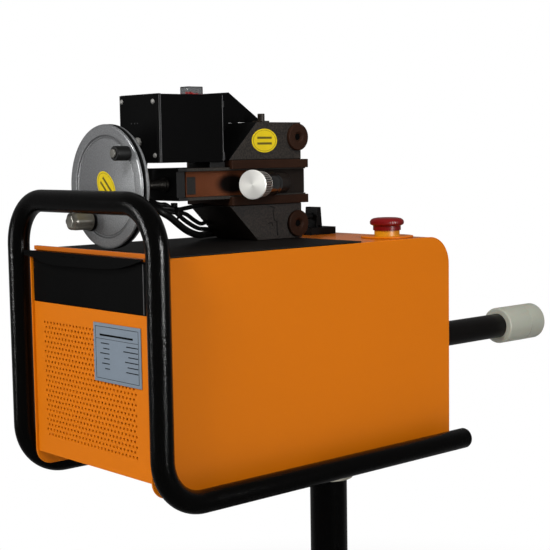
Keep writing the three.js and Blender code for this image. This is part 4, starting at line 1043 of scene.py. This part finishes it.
# painted shade: a dark strip over the gap between the upper arm and its guide bar
seam = brick("arm_seam", (199.5, 312.0), (-24.6, -22.0), (26.3, 27.0), HEAD, 0)
rides_with(seam, "arm_upper", painted_shade_black)
wiper_heights = [(-16.0, -14.0), (14.0, 16.0)]
wipers = [brick("wiper", (264, 320.4), (-20.6, -12), zs, HEAD, 0) for zs in wiper_heights]
rides_with(joined("way_wipers", *wipers), "slide", housing_dark)
show_made()

# %% [markdown]
# ## Small marks on the castings
# The lower casting has a raised parting line that steps twice, with a short branch. A bump could fake it,
# but the exported mesh would lose that. So it's a thin bead, swept along the line and half sunk in the
# face.

# %% Parting line
LINE_Y = ARM_FACE - 0.05
parting = [(x, LINE_Y, z) for x, z in ((261.5, -29.9), (267.7, -31.2), (265.4, -36.4), (267.3, -46.6),
                                       (271.4, -48.0), (271.9, -64.6))]
branch = [(x, LINE_Y, z) for x, z in ((257.5, -50.2), (262.5, -48.6), (264.5, -52.8))]
bead = joined("parting_line", swept("bead_a", bent(parting, 0.9, 0.6, 3.0), 0.5, HEAD, 10),
              swept("bead_b", bent(branch, 0.9, 0.6, 3.0), 0.4, HEAD, 10))
rides_with(bead, "arm_lower", satin_black)
show_made()

# %% [markdown]
# ## Oval stickers
# One sits on the upper casting and one on the wheel. Each is a thin oval plate. Print has no height, so
# here the shader draws it, unlike the raised lines of the rating plate: a thin ring near the edge and two
# plain bars. The ring comes from the oval's own radius e, which is 1 at the edge.

# %% Stickers
OVAL = (20.0, 14.1)


def oval_print(name, centre, long_way, short_way):
    """Yellow print: dark where |e - 0.88| < 0.014, and in two bars that run along the oval, counted in mm."""
    finish = Finish(name, Roughness=0.45, IOR=1.15)
    offset = finish.vector("SUBTRACT", finish.place, centre)[0]
    u, v = [finish.vector("DOT_PRODUCT", offset, way)["Value"] * PER_MM for way in (long_way, short_way)]
    e = ((u / OVAL[0]) ** 2.0 + (v / OVAL[1]) ** 2.0) ** 0.5
    ring = 1.0 - (e - 0.88).size().above(0.014, 0.012)
    rows = 1.0 - (v.size() - 3.4).size().above(1.35, 0.3)
    bars = rows * (1.0 - (u.size() - 1.0).above(10.5, 0.4))
    ink = ring.maths("MAXIMUM", bars)
    yellow = finish.blend(finish.noise(0.1), (0.66, 0.49, 0.010), (0.74, 0.55, 0.013))
    return finish.feed("Base Color", finish.blend(ink * 0.85, yellow, (0.02, 0.02, 0.015)))


def oval_outline(tilt=0.0, count=72):
    """The oval's edge (a cos t, b sin t), turned by the tilt."""
    t = np.linspace(0, 2 * math.pi, count, endpoint=False)
    p, q = OVAL[0] * np.cos(t), OVAL[1] * np.sin(t)
    c, s = math.cos(tilt), math.sin(tilt)
    return np.stack([p * c - q * s, p * s + q * c], axis=1)


arm_oval = oval_outline()[:, ::-1] + (49.1, 253.3)
arm_print = oval_print("arm_oval", on_board((253.3, -25, 49.1), HEAD), (1, 0, 0), (0, 0, 1))
arm_sticker = slab("arm_sticker", arm_oval, "y", (-25.3, -24.9), HEAD, 0.1)
rides_with(arm_sticker, "arm_upper", arm_print)
TILT = math.radians(44)
wheel_print = oval_print("wheel_oval", on_board((41.9, 0, 0), HEAD), (0, math.cos(TILT), math.sin(TILT)),
                         (0, -math.sin(TILT), math.cos(TILT)))
wheel_sticker = slab("wheel_sticker", oval_outline(TILT), "x", (41.6, 42.1), HEAD, 0.1)
rides_with(wheel_sticker, "handwheel", wheel_print)
show_made()

# %% [markdown]
# ## The handwheel's finish
# The wheel is speckled grey under a clear coat. Its face is brighter towards the lower near side, a painted
# sheen, and the groove in its rim is near black, painted shade. Both are masks read off the place on the
# wheel, so they need no extra mesh.

# %% Handwheel finish
wheel_metal = Finish("wheel_metal", Metallic=0.3, Roughness=0.34, Coat_Weight=0.8, Coat_Roughness=0.16)
speck = wheel_metal.noise(0.8, 3.0, 0.7).above(0.5, 0.4)
x, y, z = wheel_metal.axes()
# painted sheen: the face is lighter towards its lower near side, with lit and shaded speckle colours
painted_sheen = (float(HEAD[1] + HEAD[2]) - y - z).above(15 * MM, 90 * MM)
shaded_speckle = wheel_metal.blend(speck, (0.095, 0.097, 0.1), (0.205, 0.208, 0.213))
lit_speckle = wheel_metal.blend(speck, (0.175, 0.18, 0.183), (0.33, 0.338, 0.342))
# painted shade: the groove in the rim is near black
groove_shade = x.above(head_place(x=43.0)[0], 0.4 * MM) * (1.0 - x.above(head_place(x=47.0)[0], 0.6 * MM))
wheel_metal.feed("Base Color", wheel_metal.blend(painted_sheen, shaded_speckle, lit_speckle))
wheel_metal.paint_over(groove_shade, grey(0.004))
wheel_metal.feed("Coat Weight", 0.8 - groove_shade * 0.6)
wheel_metal.relief(speck, 0.05)
print("wheel's finish has", len(wheel_metal.tree.nodes), "nodes")

# %% [markdown]
# ## Handwheel, grip and fluted knob
# The wheel is a turned disc: a dished face with a thin groove, a smooth slope up to the raised rim, and the
# groove round the outside. Its grip spins on a bolt. The small knob has six flutes. A Boolean with six rods
# could cut them, but a wave on the radius gives the same soft lobes in one smooth surface.

# %% Handwheel and knob
wheel_line = [(41.9, 6.2), (41.9, 53.0), (42.4, 53.3), (42.4, 53.7), (41.9, 54.0), (41.8, 55.2),
              (41.4, 55.9), (40.8, 56.3), (40.45, 56.8), (40.3, 58.0), (40.3, 66.4), (40.8, 68.2),
              (42.0, 68.8), (42.8, 68.2), (43.1, 63.9), (44.9, 63.9), (45.3, 67.8), (46.4, 68.8),
              (49.6, 68.6), (51.0, 67.8), (51.6, 66.4), (51.6, 17), (62, 17), (62, 6.2), (41.9, 6.2)]
handwheel = turned("handwheel_fine", wheel_line, "x", board=HEAD, sides=192, soft=0.5)
stands_for(handwheel, "handwheel", wheel_metal)

GRIP, KNOB = (0, -44.1, 36.5), (0, 29.5, -37.8)
grip_steel = ground_metal("grip_steel", (0.13, 0.125, 0.11), 0.35, (1, 1, 1), 0.3)
bolt_line = [(20.1, 0), (20.1, 4.6), (22.1, 4.6), (22.1, 3), (43.5, 3), (43.5, 0)]
rides_with(turned("grip_bolt", bolt_line, "x", GRIP, HEAD, 48, 0.5), "handwheel", grip_steel)
grip_line = [(22.4, 3.3), (22.4, 7.2), (23.4, 7.9), (39.2, 7.9), (40.0, 7.2), (40.0, 3.3), (22.4, 3.3)]
stands_for(turned("wheel_grip_fine", grip_line, "x", GRIP, HEAD, 64, 0.8), "wheel_grip", grip_black)

FLUTE_COUNT, FLUTES_END = 6, 37.3


def flutes(s, a):
    """Round lobes: the radius falls where cos(count a) does, but not on the washer."""
    return np.where(s < FLUTES_END, 0.945 + 0.055 * np.cos(FLUTE_COUNT * a), 1.0)


knob_line = [(11.4, 0), (11.4, 6.0), (11.9, 7.8), (13.2, 9.4), (15.2, 10.4), (17.4, 10.8), (37.2, 10.8),
             (37.6, 11.4), (40.0, 11.4), (40.0, 0)]
knob_at = on_board(KNOB, HEAD)
knob_metal = turned_metal("knob_metal", (0.20, 0.19, 0.16), 0.34, knob_at, (1, 0, 0), 0.25, 0.01, 0.3)
fluted_knob = turned("wheel_knob_fine", knob_line, "x", KNOB, HEAD, 144, 0.4, flutes)
stands_for(fluted_knob, "wheel_knob", knob_metal)
washer = turned("knob_washer", [(37.5, 0), (37.5, 12.0), (40.1, 12.0), (40.1, 0)], "x", KNOB, HEAD, 64, 0.4)
rides_with(washer, "wheel_knob", plastic_black)
show_made()

# %% [markdown]
# ## Depth knobs
# Each slanted depth screw ends in a knob with a bright brushed cap and a straight-knurled dark barrel. A
# knob could be modelled where it sits, at its slant. It's easier to read drawn along x, so that is done
# first, and its mesh is then turned out to the slanted axis.

# %% Slanted axis
LEAN = math.radians(24)
ARM_MIDDLE, SLIDE_HALF = 13.5, 34.5
ZERO = np.zeros(3)


def depth_foot(side):
    """Where a depth screw leaves the slide's side, in metres."""
    return on_board((281.0, ARM_MIDDLE + side * SLIDE_HALF, -1.9), HEAD)


def depth_way(side):
    """The outward direction of a depth screw: +X turned by side (180 - 24) degrees about Z."""
    turn = side * (math.pi - LEAN)
    return np.array([math.cos(turn), math.sin(turn), 0.0])


def along_depth_axis(piece, side):
    """Turns a piece drawn along x from the origin out to the slanted depth axis on one side, in its mesh."""
    turn = Matrix.Rotation(side * (math.pi - LEAN), 4, "Z")
    piece.data.transform(Matrix.Translation(Vector(depth_foot(side))) @ turn)
    piece.data.update()
    return piece


print("depth screws leave the slide at", depth_foot(-1).round(4).tolist(), depth_foot(1).round(4).tolist())

# %% [markdown]
# ## Knurl and barrel
# The knurl is a fine wave on the radius. The barrel's finish paints shade into its valleys, picked by the
# distance from the axis, which is found from two lengths: r is the root of the whole length squared less
# the length along the axis squared. A second material could darken the barrel, but then its edge would have
# to follow the mesh.

# %% Knurl and barrel
BARREL, TEETH = (55.5, 76.0), 32


def knurl(s, a):
    """Straight knurling on the barrel: 1 + k cos(teeth a)."""
    inside = (s > BARREL[0]) & (s < BARREL[1])
    return np.where(inside, 0.972 + 0.028 * np.cos(TEETH * a), 1.0)


def barrel_with_valley_shade(finish, foot, way):
    """Dark steel below the cap, picked by the length s along the axis; painted shade in the knurl's valleys
    leaves its crests lighter.
    """
    offset = finish.vector("SUBTRACT", finish.place, foot)[0]
    s = finish.vector("DOT_PRODUCT", offset, way)["Value"] * PER_MM
    length = finish.vector("LENGTH", offset)["Value"] * PER_MM
    r = (length * length - s * s) ** 0.5
    # painted shade in the knurl's valleys, lighter on its crests
    barrel = finish.blend(r.above(14.75, 0.6), (0.014, 0.013, 0.012), (0.21, 0.19, 0.17))
    return finish.paint_over(1.0 - s.above(76.3, 0.3), barrel)


print("knurl:", TEETH, "teeth over", BARREL[1] - BARREL[0], "mm")

# %% [markdown]
# ## Both knobs and collars
# The far knob is the near one turned to the other side, so one loop makes both. A knob stands for its CAD
# node, and its smooth black collar stays behind on the slide when the knob turns.

# %% Knobs and collars
depth_line = [(22, 0), (22, 4), (54.3, 4), (54.3, 14.4), (55.2, 15.2), (56, 15.2), (60, 15.2), (66, 15.2),
              (72, 15.2), (75.9, 15.2), (76.2, 15.4), (76.2, 16.6), (76.8, 17.2), (78.6, 17.2),
              (79.3, 16.7), (79.6, 16.0), (79.6, 0)]
collar_line = [(23.3, 13.7), (23.3, 14.0), (23.9, 14.4), (29.5, 14.4), (30.0, 14.0), (33.5, 14.0),
               (34.0, 14.4), (53.3, 14.4), (54.1, 13.8), (54.1, 4.6), (53.8, 4.6), (53.8, 13.7),
               (23.3, 13.7)]
for node, side in (("depth_knob_near", -1), ("depth_knob_far", 1)):
    foot, way = depth_foot(side), depth_way(side)
    # the cap's two bright fans are a painted highlight for the sheen of brushed metal
    metal = turned_metal(node + "_metal", (0.86, 0.85, 0.80), 0.36, foot, way, 0.3, 0.006, 0.2, painted_fans=True)
    barrel_with_valley_shade(metal, foot, way)
    knob = turned(node + "_fine", depth_line, "x", (0, 0, 0), ZERO, 11 * TEETH, 0, knurl)
    stands_for(along_depth_axis(knob, side), node, metal)
    collar = turned(node + "_collar", collar_line, "x", (0, 0, 0), ZERO, 96, 0.3)
    rides_with(along_depth_axis(collar, side), "slide", collar_black)
show_made()

# %% [markdown]
# ## Feed screw
# The screw that moves the slide shows between the wheel and the bearing block. A true helix would need a
# swept thread, and nobody can tell it from rings at this size. So its thread is a square wave in the
# profile.

# %% Feed screw
THREAD_START, THREAD_STEP, THREAD_STEPS, THREAD_DEPTH = 63, 0.5, 112, 0.55
CORE_R = 6.2
screw_line = [(42.3, 0), (42.3, 5.9), (62.3, 5.9), (62.3, CORE_R)]
screw_line += [(THREAD_START + THREAD_STEP * i, CORE_R - THREAD_DEPTH * (i % 4 in (1, 2)))
               for i in range(THREAD_STEPS)]
screw_line += [(119.6, CORE_R), (120, CORE_R), (120, 8), (123, 8), (123, CORE_R), (256, CORE_R), (256, 0)]
feed_screw = turned("feed_screw_fine", screw_line, "x", board=HEAD, sides=48, soft=0.15)
stands_for(feed_screw, "feed_screw", screw_steel)
show_made()

# %% [markdown]
# ## Feed box
# A black sheet-metal box. A plate closes it at the handle end, and a folded cover wraps its sides: the
# cover's edges stand up as bright lines. A bevel alone wouldn't catch enough light for them, so they are
# narrow bands round the box in a lighter grey, a painted highlight. Small pan-head screws hold the plate.

# %% Feed box
BOX_END, BOX_Y, BOX_Z = 93.8, (-27.0, 44.3), (25.1, 101.8)
stands_for(dressed("feed_box", 0.8, 3), "feed_box", case_black)
stands_for(dressed("feed_shaft", 0.3), "feed_shaft", bolt_steel)
stands_for(dressed("rocker_switch", 0.5, 3), "rocker_switch", rocker_red)
stands_for(dressed("rocker_cover", 0.8, 3), "rocker_cover", hood_clear)


def folded_edge(name, start, width, proud):
    """A narrow band round the box: the box's outline grown by the proud height, over a short run of X."""
    ys, zs = (BOX_Y[0] - proud, BOX_Y[1] + proud), (BOX_Z[0] + 0.4, BOX_Z[1] + proud)
    return brick(name, (start, start + width), ys, zs, HEAD, min(0.25, width / 3))


# the bands wear a lighter grey: a painted highlight on the cover's edges
BANDS = ((96.0, 1.0, 0.5), (98.0, 1.0, 0.5), (187.2, 1.2, 0.15))
rides_with(joined("box_folds", *[folded_edge("band", *band) for band in BANDS]), "feed_box", painted_edge_highlight)

SCREW_R = 2.9
head_line = [(-1.9, 0), (-1.8, SCREW_R * 0.45), (-1.3, SCREW_R * 0.8), (-0.5, SCREW_R), (0.3, SCREW_R),
             (0.3, 0)]
heads = [turned("head", head_line, "x", (BOX_END, y, z), HEAD, 32, 0.2)
         for y, z in ((39.7, 94.8), (-19.6, 93.4), (39.7, 33.0), (-21.6, 33.4))]
rides_with(joined("box_screws", *heads), "feed_box", bolt_steel)
dot_line = [(-0.3, 0), (-0.3, 0.9), (0.1, 0.9), (0.1, 0)]
dots = [turned("dot", dot_line, "x", (BOX_END, y, 69.8), HEAD, 16, 0) for y in (21.5, 15.5, 10.4)]
rides_with(joined("box_dots", *dots), "feed_box", plastic_dark)
# the lugs wear the same lighter grey, a painted highlight
lugs = [brick("lug", (189.0, end), (-26.6, -22), zs, HEAD, 0.3)
        for end, zs in ((190.6, (27, 36)), (190.4, (88, 95)))]
rides_with(joined("box_lugs", *lugs), "feed_box", painted_edge_highlight)
show_made()

# %% [markdown]
# ## Head cable
# The cable is a loose bundle: four strands share a trunk under the feed box, fan out behind the slide, and
# meet again behind the lower arm. Curve objects with a bevel would do, but they can't be checked as meshes.
# So each strand is a tube swept along a smooth curve through a few stations, on the unit's board. A zip tie
# gathers them, and a short lead leaves the box beside them.

# %% Head cable
def smooth(stations, count=90):
    """A Catmull-Rom curve: between two stations, the cubic whose ends head along their neighbours' chord."""
    points = np.asarray(stations, dtype=float)
    padded = np.concatenate([[2 * points[0] - points[1]], points, [2 * points[-1] - points[-2]]])
    t = np.linspace(0, len(points) - 1 - 1e-9, count)
    i = t.astype(int)
    f = (t - i)[:, None]
    a, b, c, d = padded[i], padded[i + 1], padded[i + 2], padded[i + 3]
    second, third = 2 * a - 5 * b + 4 * c - d, 3 * b - a - 3 * c + d
    return 0.5 * (2 * b + (c - a) * f + second * f ** 2 + third * f ** 3)


TRUNK = [(112, 51.7, 350.8), (112, 51.7, 326)]
AWAY = [(320, 80, 264), (358, 53, 278), (385.2, 53, 278.2)]
strands = {
    "strand_a": (2.6, TRUNK + [(113, 44, 311), (119, 30, 301.7), (132, 24, 299.5), (147, 24, 297.3),
                               (158, 28, 297.7), (180, 36, 299.2), (201, 46, 299.8), (226, 62, 296),
                               (252, 80, 284), (280, 84, 268)]),
    "strand_b": (2.5, TRUNK + [(111, 42, 309), (118, 24, 300), (133, 22, 294.8), (158, 27, 291.8),
                               (179, 36, 283.1), (197, 46, 277.6), (216, 58, 278.1), (240, 74, 277),
                               (262, 84, 268)]),
    "strand_c": (4.2, TRUNK + [(112, 40, 307), (117, 20, 296.7), (131, 20, 289.2), (146, 24, 280.3),
                               (162, 30, 272.3), (179, 38, 266.9), (200, 52, 263.4), (223, 72, 262.2),
                               (250, 82, 262.4)] + AWAY),
    "strand_d": (2.6, TRUNK + [(113, 46, 313), (121, 28, 304.4), (131, 26, 302.9), (142, 24, 294.4),
                               (162, 30, 282.8), (187, 40, 273.1), (213, 56, 270), (237, 76, 268),
                               (262, 85, 266)]),
}
tubes = [swept(name, smooth(line), width, UNIT, 14) for name, (width, line) in strands.items()]
tie_line = [(139, 8.3), (139, 9.4), (141.6, 9.4), (141.6, 8.3), (139, 8.3)]
tie = turned("tie_band", tie_line, "x", (0, 24, 292.5), UNIT, 40, 0.2)
tie_head = brick("tie_head", (137.5, 143.5), (20.5, 26.5), (299.5, 305.0), UNIT, 0.6)
stands_for(joined("head_cable_fine", *tubes), "head_cable", rubber_black)
rides_with(joined("cable_tie", tie, tie_head), "head_cable", plastic_black)
lead_line = smooth([(95.8, 16, 352.5), (95.4, 17.5, 345), (96.5, 22, 335), (101, 32, 320),
                    (112, 44, 306)], 40)
rides_with(swept("box_lead", lead_line, 2.3, UNIT, 14), "feed_box", rubber_black)
steps = np.linalg.norm(np.diff(smooth(strands["strand_c"][1]), axis=0), axis=1)
print("longest strand", round(float(steps.sum())), "mm")
show_made()

# %% [markdown]
# ## Inside the body
# The motor, its gears and the inverter are hidden. Nobody sees them in a render, so the CAD meshes stay,
# and only their materials are swapped for ones that suit them.

# %% Inside
for node, finish in (("gearbox", cast_plain), ("motor_body", cast_plain), ("motor_rotor", bright_steel),
                     ("drive_gear", bright_steel), ("inverter", plastic_dark)):
    mesh = frame["nodes"][node].data
    mesh.materials.clear()
    mesh.materials.append(finish.material)
    print("new finish on", node)

# %% [markdown]
# ## Floor
# The floor is a pale disc that keeps the shadow near the machine and turns into plain white further out. A
# white wall behind the machine would catch shadows too. Here a Mix Shader fades the disc into a plain white
# glow instead, and only the camera sees that glow, straight or through the clear cover. Shiny surfaces
# don't see the floor at all, which keeps the black paint black.

# %% Floor
FLOOR_RADIUS, FLOOR_Z = 2.6, -0.0005


def floor_disc():
    """A flat disc: a centre point and a ring of points (R cos a, R sin a), joined by triangles."""
    a = np.linspace(0.0, 2 * math.pi, 96, endpoint=False)
    ring = np.stack([np.cos(a) * FLOOR_RADIUS, np.sin(a) * FLOOR_RADIUS, np.full_like(a, FLOOR_Z)], axis=1)
    points = np.concatenate([[[0.0, 0.0, FLOOR_Z]], ring])
    i = np.arange(len(a))
    faces = np.stack([np.zeros_like(i), i + 1, (i + 1) % len(a) + 1], axis=1)
    mesh = bpy.data.meshes.new("floor")
    mesh.from_pydata(points.tolist(), [], faces.tolist())
    disc = bpy.data.objects.new("floor", mesh)
    bpy.context.scene.collection.objects.link(disc)
    return disc


def floor_paint(name):
    """Pale paint that turns into white light past the middle, for camera and transmission rays alone."""
    finish = Finish(name, Roughness=0.9)
    x, y, z = finish.axes()
    far = ((x * x + y * y) ** 0.5).above(1.25, 0.9)
    finish.feed("Base Color", finish.blend(finish.noise(0.002), grey(0.80), grey(0.84)))
    white = finish.node("ShaderNodeEmission", {}, {"Color": (1, 1, 1, 1), "Strength": 1.0})[0]
    ray = finish.node("ShaderNodeLightPath", {}, {})
    seen = ray["Is Camera Ray"].maths("MAXIMUM", ray["Is Transmission Ray"])
    paint = Value(finish, finish.shader.outputs[0])
    mix = finish.node("ShaderNodeMixShader", {}, {0: far * seen, 1: paint, 2: white})[0]
    finish.fill(finish.tree.nodes["Material Output"], {0: mix})
    return finish


floor = floor_disc()
floor.visible_glossy = False
wear(floor, floor_paint("floor_pale"))
show_made()

# %% [markdown]
# ## World
# The world is plain white for the camera. A photographer hangs black cloth round a shiny thing, so that its
# paint has something dark to mirror. The world does the same by the kind of ray: shiny rays meet a dim
# backdrop behind the machine and a darker room on the camera's side, and plain light comes in at a level of
# its own.

# %% World
ROOM_LEVEL, WALL_LEVEL, DIFFUSE_LEVEL = 0.06, 0.15, 0.5
WALL_START, WALL_FULL = 0.15, 0.6
BACKDROP = (math.sin(YAW), math.cos(YAW), 0.0)


def studio_world():
    """Strength: 1 for the camera, DIFFUSE_LEVEL for plain light, the wall or the room for shiny rays."""
    world = bpy.data.worlds.new("studio")
    bpy.context.scene.world = world
    world.use_nodes = True
    sky = NodeTree(world.node_tree)
    ray = sky.node("ShaderNodeLightPath", {}, {})
    direction = sky.node("ShaderNodeTexCoord", {}, {})["Generated"]
    toward = sky.vector("DOT_PRODUCT", direction, BACKDROP)["Value"]
    wall = sky.node("ShaderNodeMapRange", {"interpolation_type": "SMOOTHSTEP"},
                    {0: toward, 1: WALL_START, 2: WALL_FULL, 3: ROOM_LEVEL, 4: WALL_LEVEL})[0]
    shiny = ray["Is Glossy Ray"].maths("MAXIMUM", ray["Is Transmission Ray"])
    level = sky.node("ShaderNodeMix", {}, {0: shiny, 2: DIFFUSE_LEVEL, 3: wall})[0]
    seen = sky.node("ShaderNodeMix", {}, {0: ray["Is Camera Ray"], 2: level, 3: 1.0})[0]
    sky.fill(sky.tree.nodes["Background"], {"Color": (1, 1, 1, 1), "Strength": seen})
    return world


print("world nodes:", len(studio_world().node_tree.nodes))

# %% [markdown]
# ## Lamps
# Two soft lamps face the body's near side and its handle end. Their mirror images would lie as grey veils
# on the black tubes, so shiny rays don't see them. Two tall strips do the opposite: only shiny rays see
# them, and they draw the streaks along the tubes. Keeping the two jobs apart lets black stay black.

# %% Lamps
AIM = np.array([-0.1, 0.0, 0.8])
LAMP_DISTANCE, LAMP_SIZE, LAMP_HEIGHT = 3.2, 0.9, 40
STRIP_WIDTH, STRIP_LENGTH, STRIP_HEIGHT = 0.26, 1.4, 9


def area_lamp(name, azimuth, height, width, length, power):
    """A flat lamp on a sphere about the machine, in degrees: azimuth counts from +X towards +Y."""
    a, h = math.radians(azimuth), math.radians(height)
    away = np.array([math.cos(a) * math.cos(h), math.sin(a) * math.cos(h), math.sin(h)])
    data = bpy.data.lights.new(name, "AREA")
    data.shape, data.size, data.size_y, data.energy = "RECTANGLE", width, length, power
    lamp = bpy.data.objects.new(name, data)
    bpy.context.scene.collection.objects.link(lamp)
    lamp.location = AIM + away * LAMP_DISTANCE
    lamp.rotation_euler = Vector(-away).to_track_quat("-Z", "Y").to_euler()
    return lamp


for name, azimuth, power in (("lamp_end", 196, 69), ("lamp_side", 272, 35)):
    area_lamp(name, azimuth, LAMP_HEIGHT, LAMP_SIZE, LAMP_SIZE, power).visible_glossy = False
for name, azimuth, power in (("strip_end", 153, 50), ("strip_side", 271, 130)):
    area_lamp(name, azimuth, STRIP_HEIGHT, STRIP_WIDTH, STRIP_LENGTH, power).visible_diffuse = False
print("lamps:", len(bpy.data.lights))

# %% [markdown]
# ## Finish

# %% Finish
print("finishing")
